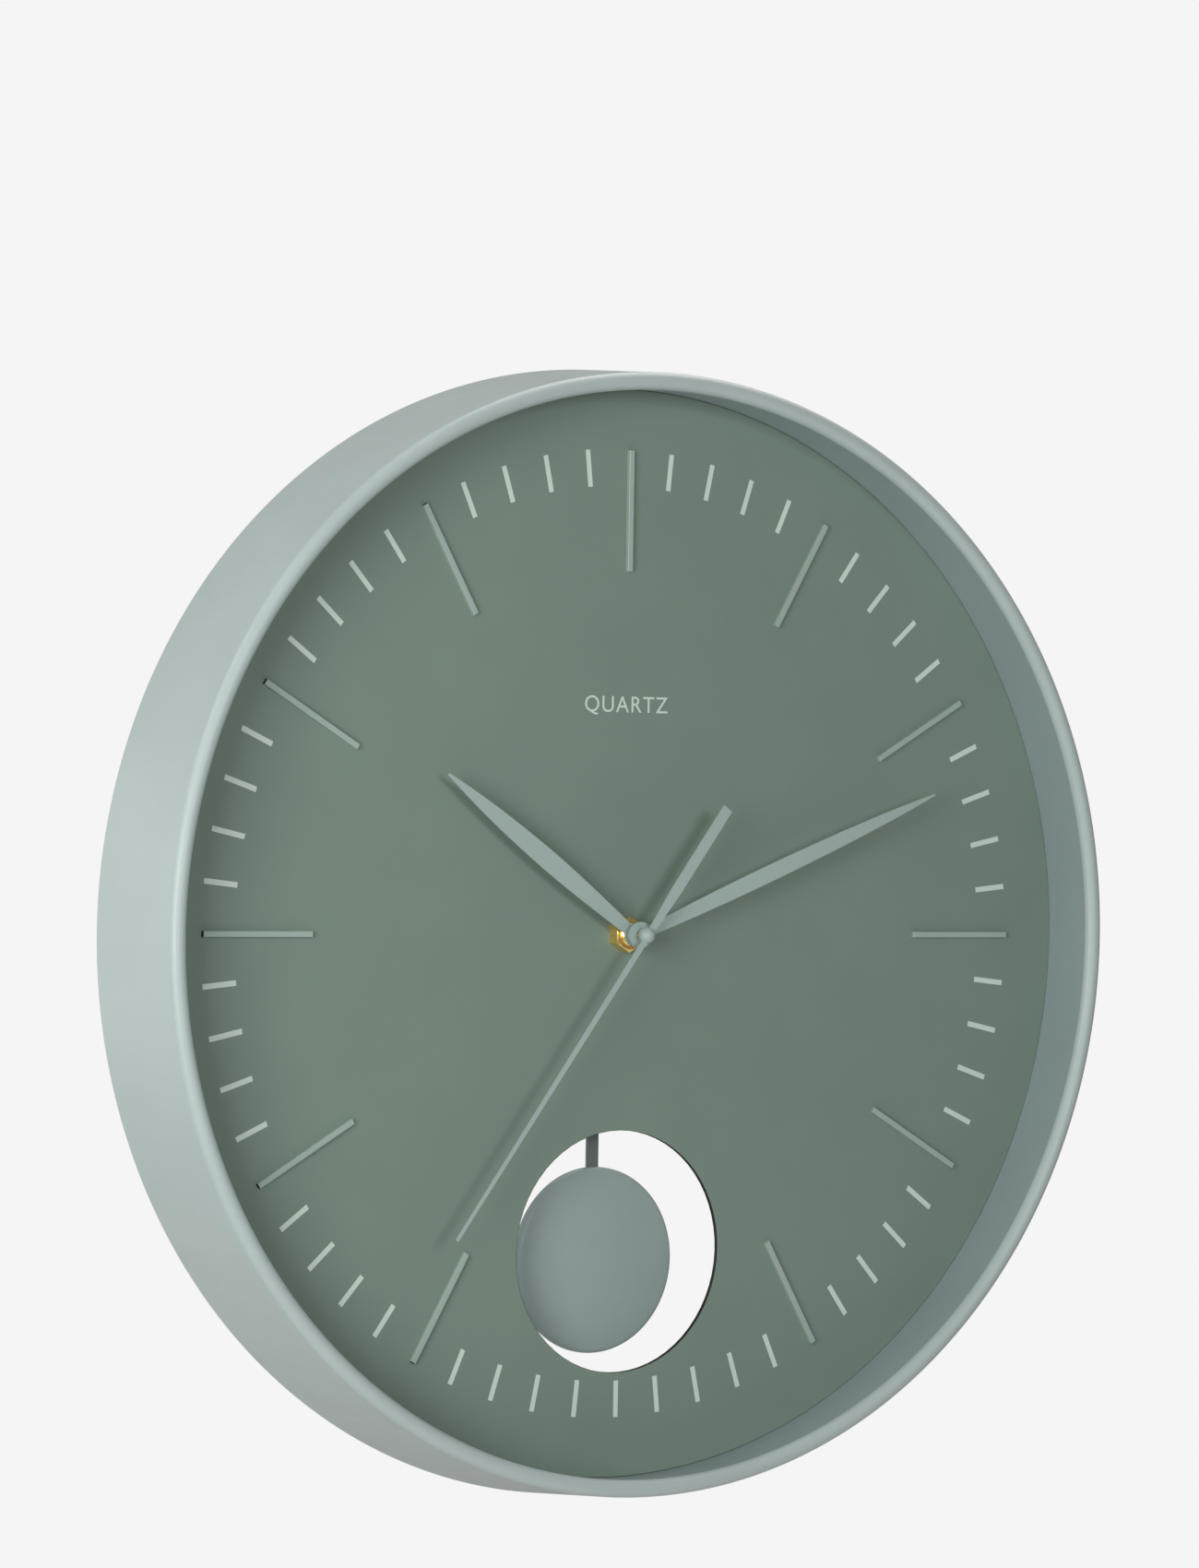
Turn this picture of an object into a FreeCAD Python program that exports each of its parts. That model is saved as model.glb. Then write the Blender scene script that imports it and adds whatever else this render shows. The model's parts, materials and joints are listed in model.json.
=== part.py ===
import FreeCAD, Part
import math
import os
from FreeCAD import Vector

# Pendulum wall clock, millimetres. Origin: centre of the plane that rests on the wall, on the axis of
# the hands. The dial faces -Y, the wall is on the +Y side, and +Z is up.

# Overall size
CASE_DIAMETER = 400.0
CASE_DEPTH = 46.0

# Case: a spun steel shell with a rolled lip, and an inner ring that carries the dial
SHELL_SHEET = 1.0
LIP_OUTER_R = 196.6
LIP_WIDTH = 6.2
WALL_HEM_WIDTH = 4.5
INNER_RING_SHEET = 1.2
INNER_WALL_R_AT_DIAL = 192.4
LEDGE_INNER_R = 184.0
LEDGE_SHEET = 1.5
LEDGE_CLEARANCE = 0.15

# Dial
DIAL_FACE_Y = -19.5
DIAL_SHEET = 1.6
DIAL_R = 192.1
WINDOW_R = 42.9
WINDOW_Z = -112.3
BUSH_HOLE_R = 4.1
STUD_COUNT = 6
STUD_CIRCLE_R = 188.0
STUD_R = 1.45
STUD_HOLE_R = 1.6
STUD_LENGTH = 4.6
STUD_NUT_HEIGHT = 2.2
STUD_NUT_ACROSS_FLATS = 5.5

# Raised hour batons, all but the one at six o'clock
BATON_INNER_R = 128.0
BATON_LENGTH = 42.8
BATON_WIDTH = 2.1
BATON_HEIGHT = 1.6
BATON_BEVEL = 0.2
BATON_HOURS = (1, 2, 3, 4, 5, 7, 8, 9, 10, 11, 12)

# Hanger bracket
HANGER_WIDTH = 56.0
HANGER_SHEET = 1.5
HANGER_TOP_Z = 189.5
HANGER_JOGGLE_TOP_Z = 180.5
HANGER_JOGGLE_BOTTOM_Z = 176.0
HANGER_BOTTOM_Z = 143.0
HANGER_PLATE_Y = -8.5
KEYHOLE_Z = 154.0
KEYHOLE_R = 5.0
KEYHOLE_SLOT_WIDTH = 5.0
KEYHOLE_SLOT_TOP_Z = 167.0
RIVET_X = 20.0
RIVET_R = 1.6
RIVET_HEAD_R = 2.8
RIVET_HEAD_HEIGHT = 1.2

# Movement housing: a train case with the battery bay under it and the pendulum drive at the bottom
GASKET_SHEET = 0.5
GASKET_MARGIN = 4.0
CASE_HALF_WIDTH = 29.0
CASE_TOP_Z = 30.0
BAY_TOP_Z = -17.8
BAY_BOTTOM_Z = -37.5
DRIVE_HALF_WIDTH = 18.0
DRIVE_BOTTOM_Z = -64.0
CASE_WALL = 1.4
FRONT_PLATE = 1.2
TRAIN_COVER_Y = -2.6
CASE_REAR_Y = -1.4
DRIVE_COVER_FRONT_Y = -5.6
DRIVE_COVER_REAR_Y = -4.6
FINGER_NOTCH_WIDTH = 16.0
FINGER_NOTCH_DEPTH = 6.0

# Bush and nut that clamp the dial
BUSH_MAJOR_R = 4.0
BUSH_MINOR_R = 3.6
BUSH_THREAD_PITCH = 0.8
BUSH_FRONT_Y = -26.0
BUSH_FLANGE_R = 5.4
BUSH_FLANGE = 0.5
NUT_ACROSS_FLATS = 11.0
NUT_HEIGHT = 4.9
NUT_CORNER_CHAMFER = 0.55
FIT_GAP = 0.02
RUNNING_GAP = 0.05
BRIDGE_GAP = 1.0
SCREW_END_GAP = 1.0

# Nested hand arbors, outer radii
HOUR_PIPE_R = 2.85
CANNON_R = 1.75
SECOND_ARBOR_R = 0.75
PIVOT_R = 0.5
HOUR_PIPE_FRONT_Y = -27.5
CANNON_FRONT_Y = -31.4
SECOND_ARBOR_FRONT_Y = -35.2

# Layers of the train, (front, rear) planes
HOUR_WHEEL_Y = (-15.5, -14.5)
MOTION_WHEEL_Y = (-14.2, -13.2)
BRIDGE_Y = (-12.8, -11.8)
CENTRE_WHEEL_Y = (-11.5, -10.6)
THIRD_WHEEL_Y = (-10.1, -9.3)
SECONDS_WHEEL_Y = (-8.8, -8.0)
INTERMEDIATE_WHEEL_Y = (-7.4, -6.6)
STATOR_Y = (-9.9, -9.2)
BOARD_Y = (-9.0, -8.2)

# Tooth form and tooth counts
PRESSURE_ANGLE = math.radians(25.0)
ADDENDUM = 0.8
DEDENDUM = 1.05
TOOTH_BACKLASH = 0.06
FLANK_STEPS = 3
MOTION_STUD_R = 1.2
MOTION_MODULE = 0.5
HOUR_MODULE = 0.4
CANNON_TEETH = 10
MOTION_TEETH = 30
MOTION_PINION_TEETH = 10
HOUR_TEETH = 40
KNOB_TEETH = 10
TRAIN_ARM = 12.0
SECONDS_PINION_TEETH = 10
THIRD_TEETH = 75
THIRD_PINION_TEETH = 10
CENTRE_TEETH = 80
SECONDS_MODULE = 0.25
SECONDS_TEETH = 60
INTERMEDIATE_PINION_TEETH = 12
ROTOR_MODULE = 0.22
INTERMEDIATE_TEETH = 60
ROTOR_TEETH = 10

# Holes in the wheel webs: (radius of their circle, radius of a hole)
WEB_HOLE_COUNT = 5
HOUR_WEB_HOLES = (5.4, 1.3)
MOTION_WEB_HOLES = (4.4, 1.1)
CENTRE_WEB_HOLES = (6.3, 1.9)
THIRD_WEB_HOLES = (6.0, 1.8)
SECONDS_WEB_HOLES = (4.4, 1.3)

# Directions from one arbor to the next, degrees from +X towards +Z
MOTION_DIRECTION = -60.0
KNOB_DIRECTION = 20.0
THIRD_DIRECTION = 180.0
INTERMEDIATE_DIRECTION = 60.0
ROTOR_DIRECTION = 30.0

# Stepper motor
ROTOR_MAGNET_R = 2.6
ROTOR_MAGNET_Y = (-10.6, -8.6)
STATOR_HOLE_R = 3.1
STATOR_X = (1.0, 22.0)
STATOR_Z = (8.3, 24.0)
STATOR_BASE_TOP_Z = 15.0
STATOR_LEG_WIDTH = 4.0
COIL_Z = 22.2
COIL_X = (5.3, 17.7)
COIL_FLANGE_R = 4.0
COIL_WINDING_R = 3.5
COIL_TUBE_R = 2.2
COIL_FLANGE = 0.8
CORE_HEIGHT = 3.0
CORE_SHEET = 0.7

# Bearings in the train cover, given by their front planes
BEARING_R = 2.0
SLIM_BEARING_R = 1.5
SECONDS_BEARING_Y = -7.5
THIRD_BEARING_Y = -8.9
ROTOR_BEARING_Y = -6.2
INTERMEDIATE_BOSS_Y = -6.2
PIVOT_REAR_Y = -4.4
POST_Y = (-9.0, -3.0)

# Circuit board, chip and crystal
BOARD_X = (-22.6, -2.0)
BOARD_Z = (13.5, 27.5)
CHIP_R = 2.6
CHIP_HEIGHT = 1.0
CHIP_EDGE_R = 0.7
CHIP_AT = (-9.0, 20.5)
CRYSTAL_R = 1.0
CRYSTAL_LENGTH = 6.0
CRYSTAL_AT = (-20.5, 19.0)

# Setting knob
KNOB_R = 5.0
KNOB_Y = (-4.0, -1.5)
KNOB_CUP_R = 6.0
KNOB_CUP_FLOOR_Y = -4.2
KNOB_ARBOR_R = 1.0
KNOB_GROOVES = 18
KNOB_GROOVE_R = 0.28

# Battery, AA size
BATTERY_R = 7.25
BATTERY_X = (-24.6, 24.6)
BATTERY_NUB_R = 2.75
BATTERY_NUB = 1.3
BATTERY_EDGE = 0.8
BATTERY_Y = -8.8
BATTERY_Z = -26.9
CONTACT_SHEET = 0.4
CONTACT_X = 26.6
CONTACT_Y = (-15.8, -3.0)
CONTACT_Z = (-33.5, -21.0)
CONTACT_BOW = 1.7

# Pendulum and its drive
PIVOT_Z = -40.5
PIVOT_PIN_R = 1.0
PIVOT_PIN_Y = (-14.0, -1.5)
PIVOT_CLIP_R = 2.3
PIVOT_CLIP_Y = (-2.4, -1.9)
COIL_POST_R = 3.4
DRIVE_COIL_R = 8.2
DRIVE_COIL_Y = (-10.6, -6.2)
HANGER_ARM_Y = (-4.1, -2.5)
HANGER_HUB_R = 2.9
HANGER_ARM_WIDTH = 5.6
MAGNET_Z = -54.0
MAGNET_R = 4.0
MAGNET_SHEET = 1.2
MAGNET_BOSS_R = 5.2
ROD_WIDTH = 5.0
ROD_SHEET = 0.8
ROD_TOP_Z = -44.5
ROD_BOTTOM_Z = -127.0
PEG_R = 0.8
PEG_Z = (-46.5, -51.5)
PEG_REAR_Y = -1.5
BOB_R = 33.2
BOB_Z = -116.5
BOB_DOME = 2.6
BOB_RIM = 2.4
BOB_EDGE_R = 1.8
BOB_RIVET_Z = (-94.0, -124.0)
BOB_RIVET_R = 1.2
BOB_RIVET_HEAD_R = 2.2
BOB_RIVET_HEAD = 0.6
BOB_RIVET_REACH = 2.0

# Hands: (distance from the axis, half width) stations of each blade
HOUR_HAND_ANGLE = -54.8
MINUTE_HAND_ANGLE = 68.3
SECOND_HAND_ANGLE = 216.5
HOUR_BLADE = ((3.0, 2.1), (20.0, 2.95), (41.0, 3.6), (62.0, 3.2), (80.0, 2.1), (95.6, 0.45))
MINUTE_BLADE = ((3.5, 1.85), (30.0, 2.7), (62.0, 3.0), (90.0, 2.65), (118.0, 1.7), (138.6, 0.35))
HOUR_HAND_Y = -27.3
HOUR_BLADE_SHEET = 0.5
HOUR_HUB_R = 4.0
HOUR_HUB_SHEET = 0.9
MINUTE_HAND_Y = -30.9
MINUTE_BLADE_SHEET = 0.5
MINUTE_HUB_R = 4.7
MINUTE_HUB_SHEET = 0.7
MINUTE_COLLAR_R = 2.6
MINUTE_COLLAR = 0.5
SECOND_HAND_Y = -35.8
SECOND_BLADE_SHEET = 0.4
SECOND_LENGTH = 130.6
SECOND_TAIL = 56.0
SECOND_HALF_WIDTHS = (1.15, 0.65)
TAIL_HALF_WIDTH = 2.1
TAIL_SHOULDER_R = 20.0
BUTTON_R = 3.0
BUTTON_CENTRE_Y = -34.6
BUTTON_REAR_Y = -33.5


def cylinder(radius, front, rear, x=0.0, z=0.0):
    """Solid cylinder along Y, from the front plane to the rear plane."""
    return Part.makeCylinder(radius, rear - front, Vector(x, front, z), Vector(0, 1, 0))


def tube(outer, inner, front, rear, x=0.0, z=0.0):
    """Hollow cylinder along Y."""
    return cylinder(outer, front, rear, x, z).cut(cylinder(inner, front, rear, x, z))


def block(xs, ys, zs):
    """Box between two x, two y and two z planes."""
    return Part.makeBox(xs[1] - xs[0], ys[1] - ys[0], zs[1] - zs[0], Vector(xs[0], ys[0], zs[0]))


def plate(outline, front, rear):
    """Plate of any closed (x, z) outline, between two y planes."""
    wire = Part.makePolygon([Vector(x, front, z) for x, z in outline + outline[:1]])
    return Part.Face(wire).extrude(Vector(0, rear - front, 0))


def turned(edges):
    """Solid turned about the Y axis from closed section edges in the XY plane."""
    section = Part.Face(Part.Wire(Part.sortEdges(edges)[0]))
    return section.revolve(Vector(0, 0, 0), Vector(0, 1, 0), 360)


def turned_polygon(points):
    """Solid turned about the Y axis from a closed (radius, y) outline."""
    wire = Part.makePolygon([Vector(r, y, 0) for r, y in points + points[:1]])
    return Part.Face(wire).revolve(Vector(0, 0, 0), Vector(0, 1, 0), 360)


def line(start, end):
    """Straight section edge between two (radius, y) points."""
    return Part.LineSegment(Vector(*start, 0), Vector(*end, 0)).toShape()


def arc(start, middle, end):
    """Round section edge through three (radius, y) points."""
    return Part.Arc(Vector(*start, 0), Vector(*middle, 0), Vector(*end, 0)).toShape()


def hexagon(across_flats, x=0.0, z=0.0):
    """Corner points of a hexagon with corners at its top and bottom."""
    corner = across_flats / math.sqrt(3)
    turns = [math.radians(60 * i + 30) for i in range(6)]
    return [(x + corner * math.cos(a), z + corner * math.sin(a)) for a in turns]


def at_clock_angle(shape, degrees):
    """Turns a shape clockwise, as the dial is read, about the hand axis."""
    shape.rotate(Vector(0, 0, 0), Vector(0, 1, 0), degrees)
    return shape


def offset_point(start, distance, degrees):
    """Point at a distance from start, in a direction from +X towards +Z."""
    turn = math.radians(degrees)
    return start[0] + distance * math.cos(turn), start[1] + distance * math.sin(turn)


def fused(first, *others):
    return first.multiFuse(list(others)).removeSplitter()


def save(name, *solids):
    """Writes one node, from one solid or from a group of separate ones."""
    shape = solids[0] if len(solids) == 1 else Part.makeCompound(list(solids))
    shape.exportStep(os.path.join("parts", name + ".step"))


# Gears

def involute(angle):
    return math.tan(angle) - angle


def gear_outline(teeth, module, phase, centre):
    """Outline of an involute gear whose first tooth points in the direction phase, in radians."""
    pitch_r = module * teeth / 2
    base_r = pitch_r * math.cos(PRESSURE_ANGLE)
    tip_r = pitch_r + ADDENDUM * module
    root_r = pitch_r - DEDENDUM * module
    half = math.pi / (2 * teeth) - TOOTH_BACKLASH / (4 * pitch_r)
    flank_r = max(base_r, root_r)
    steps = [flank_r + (tip_r - flank_r) * i / FLANK_STEPS for i in range(FLANK_STEPS + 1)]
    flank = [(r, half + involute(PRESSURE_ANGLE) - involute(math.acos(base_r / r))) for r in steps]
    if root_r < base_r:
        flank.insert(0, (root_r, flank[0][1]))
    points = []
    for tooth in range(teeth):
        middle = phase + 2 * math.pi * tooth / teeth
        points += [(r, middle - turn) for r, turn in flank]
        points += [(r, middle + turn) for r, turn in reversed(flank)]
    return [(centre[0] + r * math.cos(a), centre[1] + r * math.sin(a)) for r, a in points]


def gear(teeth, module, phase, layer, centre=(0.0, 0.0)):
    return plate(gear_outline(teeth, module, phase, centre), *layer)


def mating_phase(teeth, phase, degrees, mate_teeth):
    """Phase that puts a gap of the mate, which lies in the direction given, on a tooth of the first."""
    direction = math.radians(degrees)
    ahead = (direction - phase) * teeth / (2 * math.pi) % 1
    return direction + math.pi - (0.5 - ahead) * 2 * math.pi / mate_teeth


def wheel(teeth, module, phase, layer, web_holes, centre=(0.0, 0.0)):
    """Gear with a ring of round holes in its web, given as (circle radius, hole radius)."""
    circle_r, hole_r = web_holes
    blank = gear(teeth, module, phase, layer, centre)
    for i in range(WEB_HOLE_COUNT):
        x, z = offset_point(centre, circle_r, 360 * i / WEB_HOLE_COUNT)
        blank = blank.cut(cylinder(hole_r, *layer, x, z))
    return blank


MOTION_ARM = MOTION_MODULE * (CANNON_TEETH + MOTION_TEETH) / 2
KNOB_ARM = MOTION_MODULE * (MOTION_TEETH + KNOB_TEETH) / 2
THIRD_MODULE = 2 * TRAIN_ARM / (SECONDS_PINION_TEETH + THIRD_TEETH)
CENTRE_MODULE = 2 * TRAIN_ARM / (THIRD_PINION_TEETH + CENTRE_TEETH)
INTERMEDIATE_ARM = SECONDS_MODULE * (SECONDS_TEETH + INTERMEDIATE_PINION_TEETH) / 2
ROTOR_ARM = ROTOR_MODULE * (INTERMEDIATE_TEETH + ROTOR_TEETH) / 2

AXIS = (0.0, 0.0)
MOTION_AT = offset_point(AXIS, MOTION_ARM, MOTION_DIRECTION)
KNOB_AT = offset_point(MOTION_AT, KNOB_ARM, KNOB_DIRECTION)
THIRD_AT = offset_point(AXIS, TRAIN_ARM, THIRD_DIRECTION)
INTERMEDIATE_AT = offset_point(AXIS, INTERMEDIATE_ARM, INTERMEDIATE_DIRECTION)
ROTOR_AT = offset_point(INTERMEDIATE_AT, ROTOR_ARM, ROTOR_DIRECTION)

DIAL_BACK_Y = DIAL_FACE_Y + DIAL_SHEET
LEDGE_REAR_Y = DIAL_BACK_Y + LEDGE_SHEET
HOUSING_FRONT_Y = DIAL_BACK_Y + GASKET_SHEET
HOUSING_FLOOR_Y = HOUSING_FRONT_Y + FRONT_PLATE
LIP_R = LIP_WIDTH / 2
LIP_CENTRE_R = LIP_OUTER_R - LIP_R
LIP_CENTRE_Y = -CASE_DEPTH + LIP_R
LIP_INNER_R = LIP_OUTER_R - LIP_WIDTH

PILLARS = ((-20.5, -14.2), (20.5, -13.0), (-24.4, 10.6), (24.4, 7.0))
PILLAR_R = 1.6
COVER_SCREWS = ((-25.2, 26.2), (25.2, 26.2), (-25.2, -15.2), (25.2, -15.2))
COVER_SCREW_REACH = 6.0
COVER_SCREW_TIP_Y = TRAIN_COVER_Y - COVER_SCREW_REACH + SCREW_END_GAP
CORNER_BOSS_R = 2.3
SCREW_R = 0.8
SCREW_HEAD_R = 1.6
SCREW_HEAD = 0.9
SCREW_TIP_Y = HOUSING_FLOOR_Y + CASE_WALL + SCREW_END_GAP
CORE_Y = (STATOR_Y[1], STATOR_Y[1] + CORE_SHEET)
MOTOR_POSTS = (
    (STATOR_X[0] + STATOR_LEG_WIDTH / 2, COIL_Z),
    (STATOR_X[1] - STATOR_LEG_WIDTH / 2, COIL_Z),
)
BOARD_POSTS = ((-20.6, 25.4), (-4.0, 15.6))
BOARD_POST_R = 1.5
BOARD_PEG_R = 0.6


# Case

def build_case():
    rear_r = CASE_DIAMETER / 2
    lip_front = (LIP_CENTRE_R, -CASE_DEPTH)
    inner_lip_r = LIP_R - SHELL_SHEET
    shell = turned([
        line((rear_r, 0), (LIP_OUTER_R, LIP_CENTRE_Y)),
        arc((LIP_OUTER_R, LIP_CENTRE_Y), lip_front, (LIP_INNER_R, LIP_CENTRE_Y)),
        line((LIP_INNER_R, LIP_CENTRE_Y), (LIP_INNER_R + SHELL_SHEET, LIP_CENTRE_Y)),
        arc((LIP_INNER_R + SHELL_SHEET, LIP_CENTRE_Y), (LIP_CENTRE_R, LIP_CENTRE_Y - inner_lip_r),
            (LIP_OUTER_R - SHELL_SHEET, LIP_CENTRE_Y)),
        line((LIP_OUTER_R - SHELL_SHEET, LIP_CENTRE_Y), (rear_r - SHELL_SHEET, -SHELL_SHEET)),
        line((rear_r - SHELL_SHEET, -SHELL_SHEET), (rear_r - WALL_HEM_WIDTH, -SHELL_SHEET)),
        line((rear_r - WALL_HEM_WIDTH, -SHELL_SHEET), (rear_r - WALL_HEM_WIDTH, 0)),
        line((rear_r - WALL_HEM_WIDTH, 0), (rear_r, 0)),
    ])
    save("case_shell", shell)

    ledge_outer_r = shell_inner_r(DIAL_BACK_Y) - LEDGE_CLEARANCE
    ring = turned_polygon([
        (LIP_INNER_R, LIP_CENTRE_Y),
        (LIP_INNER_R + INNER_RING_SHEET, LIP_CENTRE_Y),
        (INNER_WALL_R_AT_DIAL + INNER_RING_SHEET, DIAL_BACK_Y),
        (ledge_outer_r, DIAL_BACK_Y),
        (ledge_outer_r, LEDGE_REAR_Y),
        (LEDGE_INNER_R, LEDGE_REAR_Y),
        (LEDGE_INNER_R, DIAL_BACK_Y),
        (INNER_WALL_R_AT_DIAL, DIAL_BACK_Y),
    ])
    holes = [cylinder(STUD_HOLE_R, DIAL_BACK_Y, LEDGE_REAR_Y, x, z) for x, z in stud_places()]
    holes += [cylinder(RIVET_R + FIT_GAP, DIAL_BACK_Y, LEDGE_REAR_Y, x, z) for x, z in rivet_places()]
    save("inner_ring", ring.cut(Part.makeCompound(holes)))


def shell_inner_r(y):
    """Inner radius of the conical shell wall at a plane between the lip and the wall hem."""
    slope = (CASE_DIAMETER / 2 - LIP_OUTER_R) / -LIP_CENTRE_Y
    return CASE_DIAMETER / 2 - SHELL_SHEET + slope * y


def stud_places():
    return [offset_point(AXIS, STUD_CIRCLE_R, 360 * i / STUD_COUNT) for i in range(STUD_COUNT)]


def rivet_places():
    height = math.sqrt(STUD_CIRCLE_R ** 2 - RIVET_X ** 2)
    return [(-RIVET_X, height), (RIVET_X, height)]


def build_dial():
    dial = cylinder(DIAL_R, DIAL_FACE_Y, DIAL_BACK_Y)
    dial = dial.cut(cylinder(WINDOW_R, DIAL_FACE_Y, DIAL_BACK_Y, 0, WINDOW_Z))
    save("dial_plate", dial.cut(cylinder(BUSH_HOLE_R, DIAL_FACE_Y, DIAL_BACK_Y)))

    stud_rear = DIAL_BACK_Y + STUD_LENGTH
    save("dial_studs", *[cylinder(STUD_R, DIAL_BACK_Y, stud_rear, x, z) for x, z in stud_places()])
    nut_rear = LEDGE_REAR_Y + STUD_NUT_HEIGHT
    nuts = []
    for x, z in stud_places():
        nut = plate(hexagon(STUD_NUT_ACROSS_FLATS, x, z), LEDGE_REAR_Y, nut_rear)
        nuts.append(nut.cut(cylinder(STUD_R + FIT_GAP, LEDGE_REAR_Y, nut_rear, x, z)))
    save("dial_nuts", *nuts)


def build_batons():
    half = BATON_WIDTH / 2
    face_y = DIAL_FACE_Y - BATON_HEIGHT
    for hour in BATON_HOURS:
        baton = block((-half, half), (face_y, DIAL_FACE_Y), (BATON_INNER_R, BATON_INNER_R + BATON_LENGTH))
        face_edges = [e for e in baton.Edges if e.BoundBox.YMax < face_y + BATON_BEVEL]
        baton = baton.makeChamfer(BATON_BEVEL, face_edges)
        save("hour_baton_%02d" % hour, at_clock_angle(baton, 30 * hour))


def build_hanger():
    half = HANGER_WIDTH / 2
    flange_rear = LEDGE_REAR_Y + HANGER_SHEET
    plate_rear = HANGER_PLATE_Y + HANGER_SHEET
    profile = [
        (LEDGE_REAR_Y, HANGER_TOP_Z), (flange_rear, HANGER_TOP_Z),
        (flange_rear, HANGER_JOGGLE_TOP_Z), (plate_rear, HANGER_JOGGLE_BOTTOM_Z + HANGER_SHEET),
        (plate_rear, HANGER_BOTTOM_Z), (HANGER_PLATE_Y, HANGER_BOTTOM_Z),
        (HANGER_PLATE_Y, HANGER_JOGGLE_BOTTOM_Z), (LEDGE_REAR_Y, HANGER_JOGGLE_TOP_Z - HANGER_SHEET),
    ]
    wire = Part.makePolygon([Vector(-half, y, z) for y, z in profile + profile[:1]])
    bracket = Part.Face(wire).extrude(Vector(HANGER_WIDTH, 0, 0))
    slot_half = KEYHOLE_SLOT_WIDTH / 2
    layer = (HANGER_PLATE_Y, plate_rear)
    cuts = [
        cylinder(KEYHOLE_R, *layer, 0, KEYHOLE_Z),
        block((-slot_half, slot_half), layer, (KEYHOLE_Z, KEYHOLE_SLOT_TOP_Z)),
        cylinder(slot_half, *layer, 0, KEYHOLE_SLOT_TOP_Z),
    ]
    cuts += [cylinder(RIVET_R + FIT_GAP, LEDGE_REAR_Y, flange_rear, x, z) for x, z in rivet_places()]
    save("hanger_bracket", bracket.cut(fused(*cuts[:3])).cut(Part.makeCompound(cuts[3:])))

    rivets = []
    for x, z in rivet_places():
        shank = cylinder(RIVET_R, DIAL_BACK_Y, flange_rear, x, z)
        head = cylinder(RIVET_HEAD_R, flange_rear, flange_rear + RIVET_HEAD_HEIGHT, x, z)
        rim = [e for e in head.Edges if e.BoundBox.YMin > flange_rear]
        rivets.append(fused(shank, head.makeFillet(RIVET_HEAD_HEIGHT / 2, rim)))
    save("hanger_rivets", *rivets)


# Movement housing

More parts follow.
